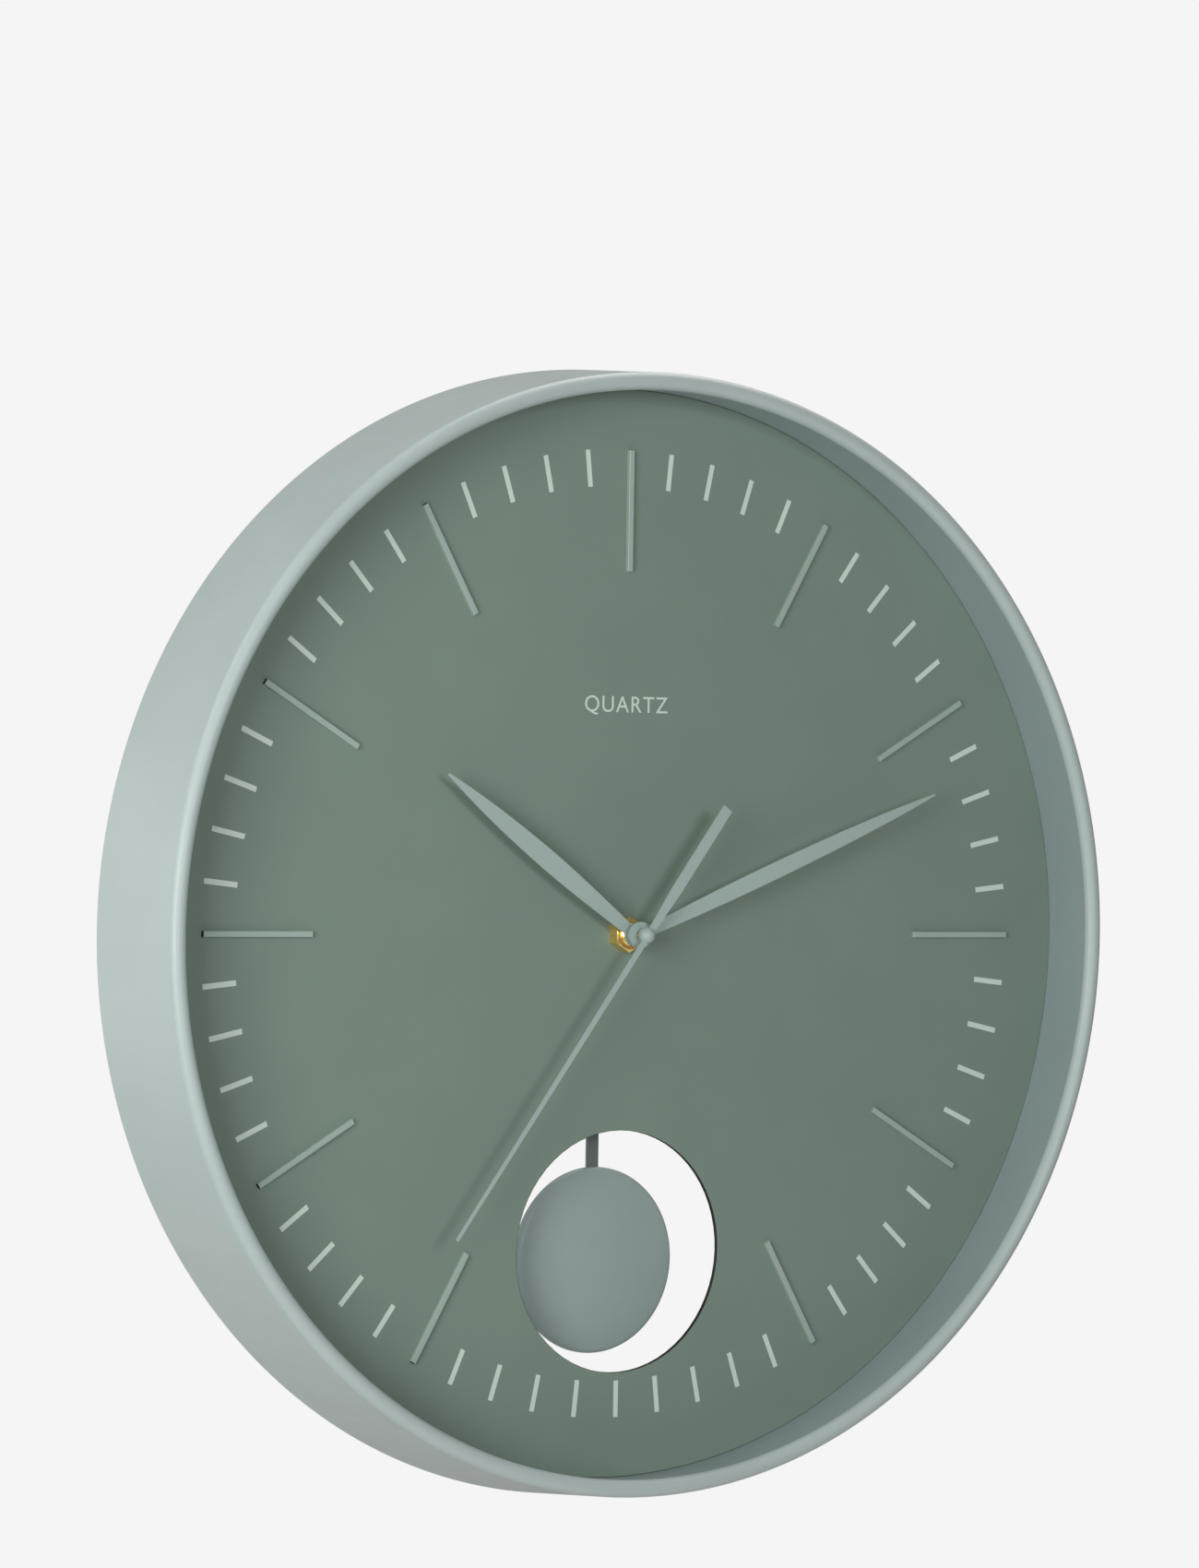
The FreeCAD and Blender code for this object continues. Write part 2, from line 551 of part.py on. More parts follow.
def build_housing():
    case_x = (-CASE_HALF_WIDTH, CASE_HALF_WIDTH)
    drive_x = (-DRIVE_HALF_WIDTH, DRIVE_HALF_WIDTH)
    outer = fused(
        block(case_x, (HOUSING_FRONT_Y, TRAIN_COVER_Y), (BAY_BOTTOM_Z, CASE_TOP_Z)),
        block(case_x, (TRAIN_COVER_Y, CASE_REAR_Y), (BAY_BOTTOM_Z, BAY_TOP_Z)),
        block(drive_x, (HOUSING_FRONT_Y, DRIVE_COVER_FRONT_Y), (DRIVE_BOTTOM_Z, BAY_BOTTOM_Z)),
    )
    inner_x = (CASE_WALL - CASE_HALF_WIDTH, CASE_HALF_WIDTH - CASE_WALL)
    inner_drive_x = (CASE_WALL - DRIVE_HALF_WIDTH, DRIVE_HALF_WIDTH - CASE_WALL)
    notch_x = (-FINGER_NOTCH_WIDTH / 2, FINGER_NOTCH_WIDTH / 2)
    hollows = [
        block(inner_x, (HOUSING_FLOOR_Y, TRAIN_COVER_Y), (BAY_TOP_Z, CASE_TOP_Z - CASE_WALL)),
        block(inner_x, (HOUSING_FLOOR_Y, CASE_REAR_Y), (BAY_BOTTOM_Z + CASE_WALL, BAY_TOP_Z - CASE_WALL)),
        block(inner_drive_x, (HOUSING_FLOOR_Y, DRIVE_COVER_FRONT_Y),
              (DRIVE_BOTTOM_Z + CASE_WALL, BAY_BOTTOM_Z)),
        block(notch_x, (CASE_REAR_Y - FINGER_NOTCH_DEPTH, CASE_REAR_Y), (BAY_TOP_Z - CASE_WALL, BAY_TOP_Z)),
    ]
    tray = outer.cut(Part.makeCompound(hollows[:3])).cut(hollows[3])
    tray = tray.cut(cylinder(BUSH_MAJOR_R + FIT_GAP, HOUSING_FRONT_Y, HOUSING_FLOOR_Y))
    posts = [cylinder(PILLAR_R, HOUSING_FLOOR_Y, BRIDGE_Y[0], x, z) for x, z in PILLARS]
    posts += [cylinder(CORNER_BOSS_R, HOUSING_FLOOR_Y, TRAIN_COVER_Y, x, z) for x, z in COVER_SCREWS]
    posts += [cylinder(PILLAR_R, HOUSING_FLOOR_Y, STATOR_Y[0], x, z) for x, z in MOTOR_POSTS]
    posts += [cylinder(BOARD_POST_R, HOUSING_FLOOR_Y, BOARD_Y[0], x, z) for x, z in BOARD_POSTS]
    posts += [cylinder(BOARD_PEG_R, HOUSING_FLOOR_Y, BOARD_Y[1] + SCREW_HEAD, x, z) for x, z in BOARD_POSTS]
    posts.append(cylinder(MOTION_STUD_R, HOUSING_FLOOR_Y, BRIDGE_Y[0], *MOTION_AT))
    posts.append(tube(KNOB_ARBOR_R + CASE_WALL, KNOB_ARBOR_R + RUNNING_GAP, HOUSING_FLOOR_Y,
                      MOTION_WHEEL_Y[0] - RUNNING_GAP, *KNOB_AT))
    posts.append(cylinder(COIL_POST_R, HOUSING_FLOOR_Y, DRIVE_COIL_Y[1], 0, MAGNET_Z))
    posts.append(cylinder(PIVOT_PIN_R + CASE_WALL, HOUSING_FLOOR_Y, DRIVE_COVER_FRONT_Y, 0, PIVOT_Z))
    tray = fused(tray, *posts)
    screw_floor = HOUSING_FLOOR_Y + CASE_WALL
    bores = [cylinder(SCREW_R + FIT_GAP, screw_floor, BRIDGE_Y[0], x, z) for x, z in PILLARS]
    bores += [cylinder(SCREW_R + FIT_GAP, TRAIN_COVER_Y - COVER_SCREW_REACH, TRAIN_COVER_Y, x, z)
              for x, z in COVER_SCREWS]
    bores += [cylinder(SCREW_R + FIT_GAP, screw_floor, STATOR_Y[0], x, z) for x, z in MOTOR_POSTS]
    bores.append(cylinder(PIVOT_PIN_R + FIT_GAP, PIVOT_PIN_Y[0], DRIVE_COVER_FRONT_Y, 0, PIVOT_Z))
    save("movement_case", tray.cut(Part.makeCompound(bores)))

    layer = (DIAL_BACK_Y, HOUSING_FRONT_Y)
    gasket_bottom_z = BAY_BOTTOM_Z + GASKET_MARGIN
    wide_half = CASE_HALF_WIDTH - GASKET_MARGIN
    narrow_half = DRIVE_HALF_WIDTH - GASKET_MARGIN
    gasket = fused(
        block((-wide_half, wide_half), layer, (gasket_bottom_z, CASE_TOP_Z - GASKET_MARGIN)),
        block((-narrow_half, narrow_half), layer, (DRIVE_BOTTOM_Z + GASKET_MARGIN, gasket_bottom_z)),
    )
    save("movement_gasket", gasket.cut(cylinder(BUSH_HOLE_R, *layer)))


def build_covers():
    half = CASE_HALF_WIDTH
    lid = block((-half, half), (TRAIN_COVER_Y, CASE_REAR_Y), (BAY_TOP_Z, CASE_TOP_Z))
    bosses = [
        cylinder(SLIM_BEARING_R, SECONDS_BEARING_Y, TRAIN_COVER_Y),
        cylinder(BEARING_R, THIRD_BEARING_Y, TRAIN_COVER_Y, *THIRD_AT),
        cylinder(SLIM_BEARING_R, ROTOR_BEARING_Y, TRAIN_COVER_Y, *ROTOR_AT),
        cylinder(SLIM_BEARING_R, INTERMEDIATE_BOSS_Y, TRAIN_COVER_Y, *INTERMEDIATE_AT),
        cylinder(KNOB_CUP_R + CASE_WALL / 2, KNOB_CUP_FLOOR_Y - CASE_WALL / 2, TRAIN_COVER_Y, *KNOB_AT),
    ]
    lid = fused(lid, *bosses)
    running_r = PIVOT_R + RUNNING_GAP
    bores = [
        cylinder(running_r, SECONDS_BEARING_Y, PIVOT_REAR_Y),
        cylinder(running_r, THIRD_BEARING_Y, PIVOT_REAR_Y, *THIRD_AT),
        cylinder(running_r, ROTOR_BEARING_Y, PIVOT_REAR_Y, *ROTOR_AT),
        cylinder(PIVOT_R + FIT_GAP, INTERMEDIATE_BOSS_Y, POST_Y[1], *INTERMEDIATE_AT),
        fused(cylinder(KNOB_CUP_R, KNOB_CUP_FLOOR_Y, CASE_REAR_Y, *KNOB_AT),
              cylinder(KNOB_ARBOR_R + RUNNING_GAP, KNOB_CUP_FLOOR_Y - CASE_WALL, CASE_REAR_Y, *KNOB_AT)),
    ]
    for x, z in COVER_SCREWS:
        bores.append(cylinder(SCREW_R + FIT_GAP, TRAIN_COVER_Y, CASE_REAR_Y, x, z))
    lid = lid.cut(Part.makeCompound(bores))
    sinks = [cylinder(SCREW_HEAD_R + FIT_GAP, CASE_REAR_Y - SCREW_HEAD, CASE_REAR_Y, x, z)
             for x, z in COVER_SCREWS]
    save("train_cover", lid.cut(Part.makeCompound(sinks)))

    lid = block((-DRIVE_HALF_WIDTH, DRIVE_HALF_WIDTH), (DRIVE_COVER_FRONT_Y, DRIVE_COVER_REAR_Y),
                (DRIVE_BOTTOM_Z, BAY_BOTTOM_Z))
    hole = cylinder(PIVOT_PIN_R + FIT_GAP, DRIVE_COVER_FRONT_Y, DRIVE_COVER_REAR_Y, 0, PIVOT_Z)
    save("drive_cover", lid.cut(hole))


def screw(place, tip_y, seat_y):
    """Cheese-head screw that points forward, with a straight driver slot across its head."""
    x, z = place
    head_y = seat_y + SCREW_HEAD
    half_slot = SCREW_R / 4
    body = fused(cylinder(SCREW_R, tip_y, seat_y, x, z), cylinder(SCREW_HEAD_R, seat_y, head_y, x, z))
    slot = block((x - SCREW_HEAD_R, x + SCREW_HEAD_R), (head_y - SCREW_HEAD / 2, head_y),
                 (z - half_slot, z + half_slot))
    return body.cut(slot)


def build_screws():
    screws = [screw(place, SCREW_TIP_Y, BRIDGE_Y[1]) for place in PILLARS]
    screws += [screw(place, SCREW_TIP_Y, CORE_Y[1]) for place in MOTOR_POSTS]
    screws += [screw(place, COVER_SCREW_TIP_Y, CASE_REAR_Y - SCREW_HEAD) for place in COVER_SCREWS]
    save("movement_screws", *screws)


def build_bush_and_nut():
    bore_r = HOUR_PIPE_R + RUNNING_GAP
    points = [(bore_r, BUSH_FRONT_Y)]
    y = BUSH_FRONT_Y
    while y < DIAL_FACE_Y - NUT_HEIGHT / 2:
        points += [(BUSH_MINOR_R, y), (BUSH_MAJOR_R, y + BUSH_THREAD_PITCH / 2)]
        y += BUSH_THREAD_PITCH
    points += [
        (BUSH_MAJOR_R, HOUSING_FLOOR_Y), (BUSH_FLANGE_R, HOUSING_FLOOR_Y),
        (BUSH_FLANGE_R, HOUSING_FLOOR_Y + BUSH_FLANGE), (bore_r, HOUSING_FLOOR_Y + BUSH_FLANGE),
    ]
    save("threaded_bush", turned_polygon(points))

    nut_front = DIAL_FACE_Y - NUT_HEIGHT
    nut = plate(hexagon(NUT_ACROSS_FLATS), nut_front, DIAL_FACE_Y)
    corner_r = NUT_ACROSS_FLATS / math.sqrt(3)
    blank = turned_polygon([
        (0, nut_front), (corner_r - 2 * NUT_CORNER_CHAMFER, nut_front),
        (corner_r, nut_front + NUT_CORNER_CHAMFER), (corner_r, DIAL_FACE_Y), (0, DIAL_FACE_Y),
    ])
    save("hex_nut", nut.common(blank).cut(cylinder(BUSH_MAJOR_R + FIT_GAP, nut_front, DIAL_FACE_Y)))


# Train

def build_train():
    cannon_phase = 0.0
    motion_phase = mating_phase(CANNON_TEETH, cannon_phase, MOTION_DIRECTION, MOTION_TEETH)
    knob_phase = mating_phase(MOTION_TEETH, motion_phase, KNOB_DIRECTION, KNOB_TEETH)
    motion_pinion_phase = 0.0
    hour_phase = mating_phase(MOTION_PINION_TEETH, motion_pinion_phase, MOTION_DIRECTION + 180, HOUR_TEETH)
    seconds_pinion_phase = 0.0
    third_phase = mating_phase(SECONDS_PINION_TEETH, seconds_pinion_phase, THIRD_DIRECTION, THIRD_TEETH)
    third_pinion_phase = 0.0
    centre_phase = mating_phase(THIRD_PINION_TEETH, third_pinion_phase, THIRD_DIRECTION + 180, CENTRE_TEETH)
    seconds_phase = 0.0
    intermediate_pinion_phase = mating_phase(
        SECONDS_TEETH, seconds_phase, INTERMEDIATE_DIRECTION, INTERMEDIATE_PINION_TEETH)
    intermediate_phase = 0.0
    rotor_phase = mating_phase(INTERMEDIATE_TEETH, intermediate_phase, ROTOR_DIRECTION, ROTOR_TEETH)

    hour_wheel = fused(
        wheel(HOUR_TEETH, HOUR_MODULE, hour_phase, HOUR_WHEEL_Y, HOUR_WEB_HOLES),
        cylinder(HOUR_PIPE_R, HOUR_PIPE_FRONT_Y, HOUR_WHEEL_Y[1]),
    )
    save("hour_wheel", hour_wheel.cut(cylinder(CANNON_R + RUNNING_GAP, HOUR_PIPE_FRONT_Y, HOUR_WHEEL_Y[1])))

    motion_y = (HOUR_WHEEL_Y[0], MOTION_WHEEL_Y[1])
    motion_wheel = fused(
        wheel(MOTION_TEETH, MOTION_MODULE, motion_phase, MOTION_WHEEL_Y, MOTION_WEB_HOLES, MOTION_AT),
        gear(MOTION_PINION_TEETH, HOUR_MODULE, motion_pinion_phase, motion_y, MOTION_AT),
    )
    bore = cylinder(MOTION_STUD_R + RUNNING_GAP, *motion_y, *MOTION_AT)
    save("motion_wheel", motion_wheel.cut(bore))

    cannon_y = (CANNON_FRONT_Y, CENTRE_WHEEL_Y[1])
    cannon = fused(
        cylinder(CANNON_R, *cannon_y),
        gear(CANNON_TEETH, MOTION_MODULE, cannon_phase, MOTION_WHEEL_Y),
    )
    save("minute_cannon", cannon.cut(cylinder(SECOND_ARBOR_R + RUNNING_GAP, *cannon_y)))
    centre_wheel = wheel(CENTRE_TEETH, CENTRE_MODULE, centre_phase, CENTRE_WHEEL_Y, CENTRE_WEB_HOLES)
    save("centre_wheel", centre_wheel.cut(cylinder(CANNON_R + FIT_GAP, *CENTRE_WHEEL_Y)))

    pinion_y = (CENTRE_WHEEL_Y[0], THIRD_WHEEL_Y[0])
    third = fused(
        wheel(THIRD_TEETH, THIRD_MODULE, third_phase, THIRD_WHEEL_Y, THIRD_WEB_HOLES, THIRD_AT),
        gear(THIRD_PINION_TEETH, CENTRE_MODULE, third_pinion_phase, pinion_y, THIRD_AT),
        cylinder(PIVOT_R, BRIDGE_Y[0], PIVOT_REAR_Y - RUNNING_GAP, *THIRD_AT),
    )
    save("third_wheel", third)

    pinion_y = (THIRD_WHEEL_Y[0], SECONDS_WHEEL_Y[0])
    seconds = fused(
        wheel(SECONDS_TEETH, SECONDS_MODULE, seconds_phase, SECONDS_WHEEL_Y, SECONDS_WEB_HOLES),
        gear(SECONDS_PINION_TEETH, THIRD_MODULE, seconds_pinion_phase, pinion_y),
        cylinder(SECOND_ARBOR_R, SECOND_ARBOR_FRONT_Y, SECONDS_WHEEL_Y[1]),
        cylinder(PIVOT_R, SECONDS_WHEEL_Y[1], PIVOT_REAR_Y - RUNNING_GAP),
    )
    save("seconds_wheel", seconds)

    intermediate = fused(
        gear(INTERMEDIATE_TEETH, ROTOR_MODULE, intermediate_phase, INTERMEDIATE_WHEEL_Y, INTERMEDIATE_AT),
        gear(INTERMEDIATE_PINION_TEETH, SECONDS_MODULE, intermediate_pinion_phase,
             (SECONDS_WHEEL_Y[0], INTERMEDIATE_WHEEL_Y[0]), INTERMEDIATE_AT),
    )
    bore = cylinder(PIVOT_R + RUNNING_GAP, SECONDS_WHEEL_Y[0], INTERMEDIATE_WHEEL_Y[1], *INTERMEDIATE_AT)
    save("intermediate_wheel", intermediate.cut(bore))
    save("intermediate_post", cylinder(PIVOT_R, *POST_Y, *INTERMEDIATE_AT))

    pinion = fused(
        gear(ROTOR_TEETH, ROTOR_MODULE, rotor_phase, INTERMEDIATE_WHEEL_Y, ROTOR_AT),
        cylinder(PIVOT_R, BRIDGE_Y[0], PIVOT_REAR_Y - RUNNING_GAP, *ROTOR_AT),
    )
    save("rotor_pinion", pinion)
    save("rotor_magnet", tube(ROTOR_MAGNET_R, PIVOT_R + FIT_GAP, *ROTOR_MAGNET_Y, *ROTOR_AT))

    setting = fused(
        gear(KNOB_TEETH, MOTION_MODULE, knob_phase, MOTION_WHEEL_Y, KNOB_AT),
        cylinder(KNOB_ARBOR_R, HOUSING_FLOOR_Y, KNOB_Y[1], *KNOB_AT),
    )
    save("setting_arbor", setting)
    knob = tube(KNOB_R, KNOB_ARBOR_R + FIT_GAP, *KNOB_Y, *KNOB_AT)
    grooves = [cylinder(KNOB_GROOVE_R, *KNOB_Y, *offset_point(KNOB_AT, KNOB_R, 360 * i / KNOB_GROOVES))
               for i in range(KNOB_GROOVES)]
    save("setting_knob", knob.cut(Part.makeCompound(grooves)))


def build_bridge():
    half = CASE_HALF_WIDTH - CASE_WALL - BRIDGE_GAP
    bridge = block((-half, half), BRIDGE_Y, (BAY_TOP_Z + BRIDGE_GAP, STATOR_BASE_TOP_Z + BRIDGE_GAP))
    running_r = PIVOT_R + RUNNING_GAP
    cuts = [
        cylinder(CANNON_R + RUNNING_GAP, *BRIDGE_Y),
        cylinder(running_r, *BRIDGE_Y, *THIRD_AT),
        cylinder(running_r, *BRIDGE_Y, *ROTOR_AT),
        cylinder(KNOB_ARBOR_R + RUNNING_GAP, *BRIDGE_Y, *KNOB_AT),
    ]
    cuts += [cylinder(SCREW_R + FIT_GAP, *BRIDGE_Y, x, z) for x, z in PILLARS]
    cuts += [cylinder(CORNER_BOSS_R + BRIDGE_GAP, *BRIDGE_Y, x, z) for x, z in COVER_SCREWS[2:]]
    cuts += [cylinder(BOARD_POST_R + BRIDGE_GAP, *BRIDGE_Y, x, z) for x, z in BOARD_POSTS[1:]]
    save("train_bridge", bridge.cut(Part.makeCompound(cuts)))


def build_motor():
    base = block(STATOR_X, STATOR_Y, (STATOR_Z[0], STATOR_BASE_TOP_Z))
    left = block((STATOR_X[0], STATOR_X[0] + STATOR_LEG_WIDTH), STATOR_Y, STATOR_Z)
    right = block((STATOR_X[1] - STATOR_LEG_WIDTH, STATOR_X[1]), STATOR_Y, STATOR_Z)
    stator = fused(base, left, right).cut(cylinder(STATOR_HOLE_R, *STATOR_Y, *ROTOR_AT))
    holes = [cylinder(SCREW_R + FIT_GAP, *STATOR_Y, x, z) for x, z in MOTOR_POSTS]
    save("motor_stator", stator.cut(Part.makeCompound(holes)))

    core = block(STATOR_X, CORE_Y, (COIL_Z - CORE_HEIGHT / 2, COIL_Z + CORE_HEIGHT / 2))
    holes = [cylinder(SCREW_R + FIT_GAP, *CORE_Y, x, z) for x, z in MOTOR_POSTS]
    save("motor_core", core.cut(Part.makeCompound(holes)))

    centre_y = STATOR_Y[1] + CORE_SHEET / 2
    slot = block((COIL_X[0], COIL_X[1]), CORE_Y, (COIL_Z - CORE_HEIGHT / 2, COIL_Z + CORE_HEIGHT / 2))

    def along_x(radius, start, end):
        return Part.makeCylinder(radius, end - start, Vector(start, centre_y, COIL_Z), Vector(1, 0, 0))

    bobbin = fused(
        along_x(COIL_TUBE_R, *COIL_X),
        along_x(COIL_FLANGE_R, COIL_X[0], COIL_X[0] + COIL_FLANGE),
        along_x(COIL_FLANGE_R, COIL_X[1] - COIL_FLANGE, COIL_X[1]),
    )
    save("coil_bobbin", bobbin.cut(slot))
    span = (COIL_X[0] + COIL_FLANGE, COIL_X[1] - COIL_FLANGE)
    save("coil_winding", along_x(COIL_WINDING_R, *span).cut(along_x(COIL_TUBE_R + FIT_GAP, *span)))


def build_electronics():
    board = block(BOARD_X, BOARD_Y, BOARD_Z)
    holes = [cylinder(BOARD_PEG_R + FIT_GAP, *BOARD_Y, x, z) for x, z in BOARD_POSTS]
    save("circuit_board", board.cut(Part.makeCompound(holes)))
    rear = BOARD_Y[1]
    chip = cylinder(CHIP_R, rear, rear + CHIP_HEIGHT, *CHIP_AT)
    rim = [e for e in chip.Edges if e.BoundBox.YMin > rear]
    save("clock_chip", chip.makeFillet(CHIP_EDGE_R, rim))
    crystal_start = Vector(CRYSTAL_AT[0], rear + CRYSTAL_R, CRYSTAL_AT[1])
    save("quartz_crystal", Part.makeCylinder(CRYSTAL_R, CRYSTAL_LENGTH, crystal_start, Vector(1, 0, 0)))


def build_battery():
    start, end = BATTERY_X
    body = Part.makeCylinder(BATTERY_R, end - start, Vector(start, BATTERY_Y, BATTERY_Z), Vector(1, 0, 0))
    body = body.makeFillet(BATTERY_EDGE, [e for e in body.Edges if e.BoundBox.XLength < FIT_GAP])
    nub = Part.makeCylinder(BATTERY_NUB_R, BATTERY_NUB, Vector(end, BATTERY_Y, BATTERY_Z), Vector(1, 0, 0))
    save("battery", fused(body, nub))

    flat = block((CONTACT_X, CONTACT_X + CONTACT_SHEET), CONTACT_Y, CONTACT_Z)
    save("contact_positive", flat)
    middle = (CONTACT_Y[0] + CONTACT_Y[1]) / 2
    quarter = (CONTACT_Y[1] - CONTACT_Y[0]) / 4
    inside = [
        (-CONTACT_X, CONTACT_Y[0]), (-CONTACT_X, middle - quarter), (-CONTACT_X + CONTACT_BOW, middle),
        (-CONTACT_X, middle + quarter), (-CONTACT_X, CONTACT_Y[1]),
    ]
    bow = inside + [(x - CONTACT_SHEET, y) for x, y in reversed(inside)]
    wire = Part.makePolygon([Vector(x, y, CONTACT_Z[0]) for x, y in bow + bow[:1]])
    save("contact_negative", Part.Face(wire).extrude(Vector(0, 0, CONTACT_Z[1] - CONTACT_Z[0])))


# Pendulum

def build_pendulum():
    save("drive_coil", tube(DRIVE_COIL_R, COIL_POST_R + FIT_GAP, *DRIVE_COIL_Y, 0, MAGNET_Z))
    save("pivot_pin", cylinder(PIVOT_PIN_R, *PIVOT_PIN_Y, 0, PIVOT_Z))
    save("pivot_clip", tube(PIVOT_CLIP_R, PIVOT_PIN_R + FIT_GAP, *PIVOT_CLIP_Y, 0, PIVOT_Z))

    half = HANGER_ARM_WIDTH / 2
    arm = fused(
        cylinder(HANGER_HUB_R, *HANGER_ARM_Y, 0, PIVOT_Z),
        block((-half, half), HANGER_ARM_Y, (MAGNET_Z, PIVOT_Z)),
        cylinder(MAGNET_BOSS_R, *HANGER_ARM_Y, 0, MAGNET_Z),
        *[cylinder(PEG_R, HANGER_ARM_Y[0], PEG_REAR_Y, 0, z) for z in PEG_Z],
    )
    magnet_y = (HANGER_ARM_Y[0], HANGER_ARM_Y[0] + MAGNET_SHEET)
    arm = arm.cut(cylinder(MAGNET_R + FIT_GAP, *magnet_y, 0, MAGNET_Z))
    arm = arm.cut(cylinder(PIVOT_PIN_R + RUNNING_GAP, *HANGER_ARM_Y, 0, PIVOT_Z))
    save("pendulum_hanger", arm)
    save("drive_magnet", cylinder(MAGNET_R, *magnet_y, 0, MAGNET_Z))

    rod_y = (HANGER_ARM_Y[1], HANGER_ARM_Y[1] + ROD_SHEET)
    rod = block((-ROD_WIDTH / 2, ROD_WIDTH / 2), rod_y, (ROD_BOTTOM_Z, ROD_TOP_Z))
    holes = [cylinder(PEG_R + FIT_GAP, *rod_y, 0, z) for z in PEG_Z]
    holes += [cylinder(BOB_RIVET_R + FIT_GAP, *rod_y, 0, z) for z in BOB_RIVET_Z]
    save("pendulum_rod", rod.cut(Part.makeCompound(holes)))

    save("pendulum_bob", bob(rod_y[0]))
    rivets = []
    for z in BOB_RIVET_Z:
        shank = cylinder(BOB_RIVET_R, rod_y[0] - BOB_RIVET_REACH, rod_y[1], 0, z)
        head = cylinder(BOB_RIVET_HEAD_R, rod_y[1], rod_y[1] + BOB_RIVET_HEAD, 0, z)
        rivets.append(fused(shank, head))
    save("bob_rivets", *rivets)


def bob(back_y):
    """Disc with a flat back, a rounded edge and a shallow domed face."""
    dome_r = (BOB_R ** 2 + BOB_DOME ** 2) / (2 * BOB_DOME)
    apex_y = back_y - BOB_RIM - BOB_DOME
    ball = Part.makeSphere(dome_r, Vector(0, apex_y + dome_r, BOB_Z))
    disc = cylinder(BOB_R, apex_y, back_y, 0, BOB_Z).common(ball)
    face_rim = [e for e in disc.Edges if e.BoundBox.XLength > BOB_R and e.BoundBox.YMax < back_y - FIT_GAP]
    disc = disc.makeFillet(BOB_EDGE_R, face_rim)
    holes = [cylinder(BOB_RIVET_R + FIT_GAP, back_y - BOB_RIVET_REACH, back_y, 0, z) for z in BOB_RIVET_Z]
    return disc.cut(Part.makeCompound(holes))


# Hands

def blade(stations, front, rear):
    """Leaf-shaped blade that points up, through (distance, half width) stations on each side."""
    right = Part.BSplineCurve()
    right.interpolate([Vector(half, front, distance) for distance, half in stations])
    left = Part.BSplineCurve()
    left.interpolate([Vector(-half, front, distance) for distance, half in stations])
    base, tip = stations[0], stations[-1]
    edges = [
        right.toShape(),
        left.toShape(),
        Part.LineSegment(Vector(-base[1], front, base[0]), Vector(base[1], front, base[0])).toShape(),
        Part.Arc(Vector(-tip[1], front, tip[0]), Vector(0, front, tip[0] + tip[1]),
                 Vector(tip[1], front, tip[0])).toShape(),
    ]
    return Part.Face(Part.Wire(Part.sortEdges(edges)[0])).extrude(Vector(0, rear - front, 0))


def build_hands():
    hub_rear = HOUR_HAND_Y + HOUR_HUB_SHEET
    hour = fused(blade(HOUR_BLADE, HOUR_HAND_Y, HOUR_HAND_Y + HOUR_BLADE_SHEET),
                 cylinder(HOUR_HUB_R, HOUR_HAND_Y, hub_rear))
    hour = hour.cut(cylinder(HOUR_PIPE_R + FIT_GAP, HOUR_HAND_Y, hub_rear))
    save("hour_hand", at_clock_angle(hour, HOUR_HAND_ANGLE))

    hub_rear = MINUTE_HAND_Y + MINUTE_HUB_SHEET
    collar_front = MINUTE_HAND_Y - MINUTE_COLLAR
    minute = fused(blade(MINUTE_BLADE, MINUTE_HAND_Y, MINUTE_HAND_Y + MINUTE_BLADE_SHEET),
                   cylinder(MINUTE_HUB_R, MINUTE_HAND_Y, hub_rear),
                   cylinder(MINUTE_COLLAR_R, collar_front, MINUTE_HAND_Y))
    minute = minute.cut(cylinder(CANNON_R + FIT_GAP, collar_front, hub_rear))
    save("minute_hand", at_clock_angle(minute, MINUTE_HAND_ANGLE))

    blade_rear = SECOND_HAND_Y + SECOND_BLADE_SHEET
    root, tip = SECOND_HALF_WIDTHS
    right = [
        (tip, SECOND_LENGTH), (root, 0), (TAIL_HALF_WIDTH, -TAIL_SHOULDER_R), (TAIL_HALF_WIDTH, -SECOND_TAIL),
    ]
    outline = right + [(-half, distance) for half, distance in reversed(right)]
    ball = Part.makeSphere(BUTTON_R, Vector(0, BUTTON_CENTRE_Y, 0), Vector(0, 1, 0))
    around_ball = 2 * BUTTON_R
    collar = ball.common(cylinder(around_ball, SECOND_HAND_Y, BUTTON_REAR_Y))
    second = fused(plate(outline, SECOND_HAND_Y, blade_rear), collar)
    second = second.cut(cylinder(SECOND_ARBOR_R + FIT_GAP, SECOND_ARBOR_FRONT_Y, BUTTON_REAR_Y))
    save("second_hand", at_clock_angle(second, SECOND_HAND_ANGLE))
    save("second_cap", ball.common(cylinder(around_ball, BUTTON_CENTRE_Y - BUTTON_R, SECOND_HAND_Y)))


def main():
    os.makedirs("parts", exist_ok=True)
    build_case()
    build_dial()
    build_batons()
    build_hanger()
    build_housing()
    build_covers()
    build_bush_and_nut()
    build_train()
    build_bridge()
    build_motor()
    build_screws()
    build_electronics()
    build_battery()
    build_pendulum()
    build_hands()


main()
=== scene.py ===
import json
import math

import bmesh
import bpy
from mathutils import Matrix, Vector


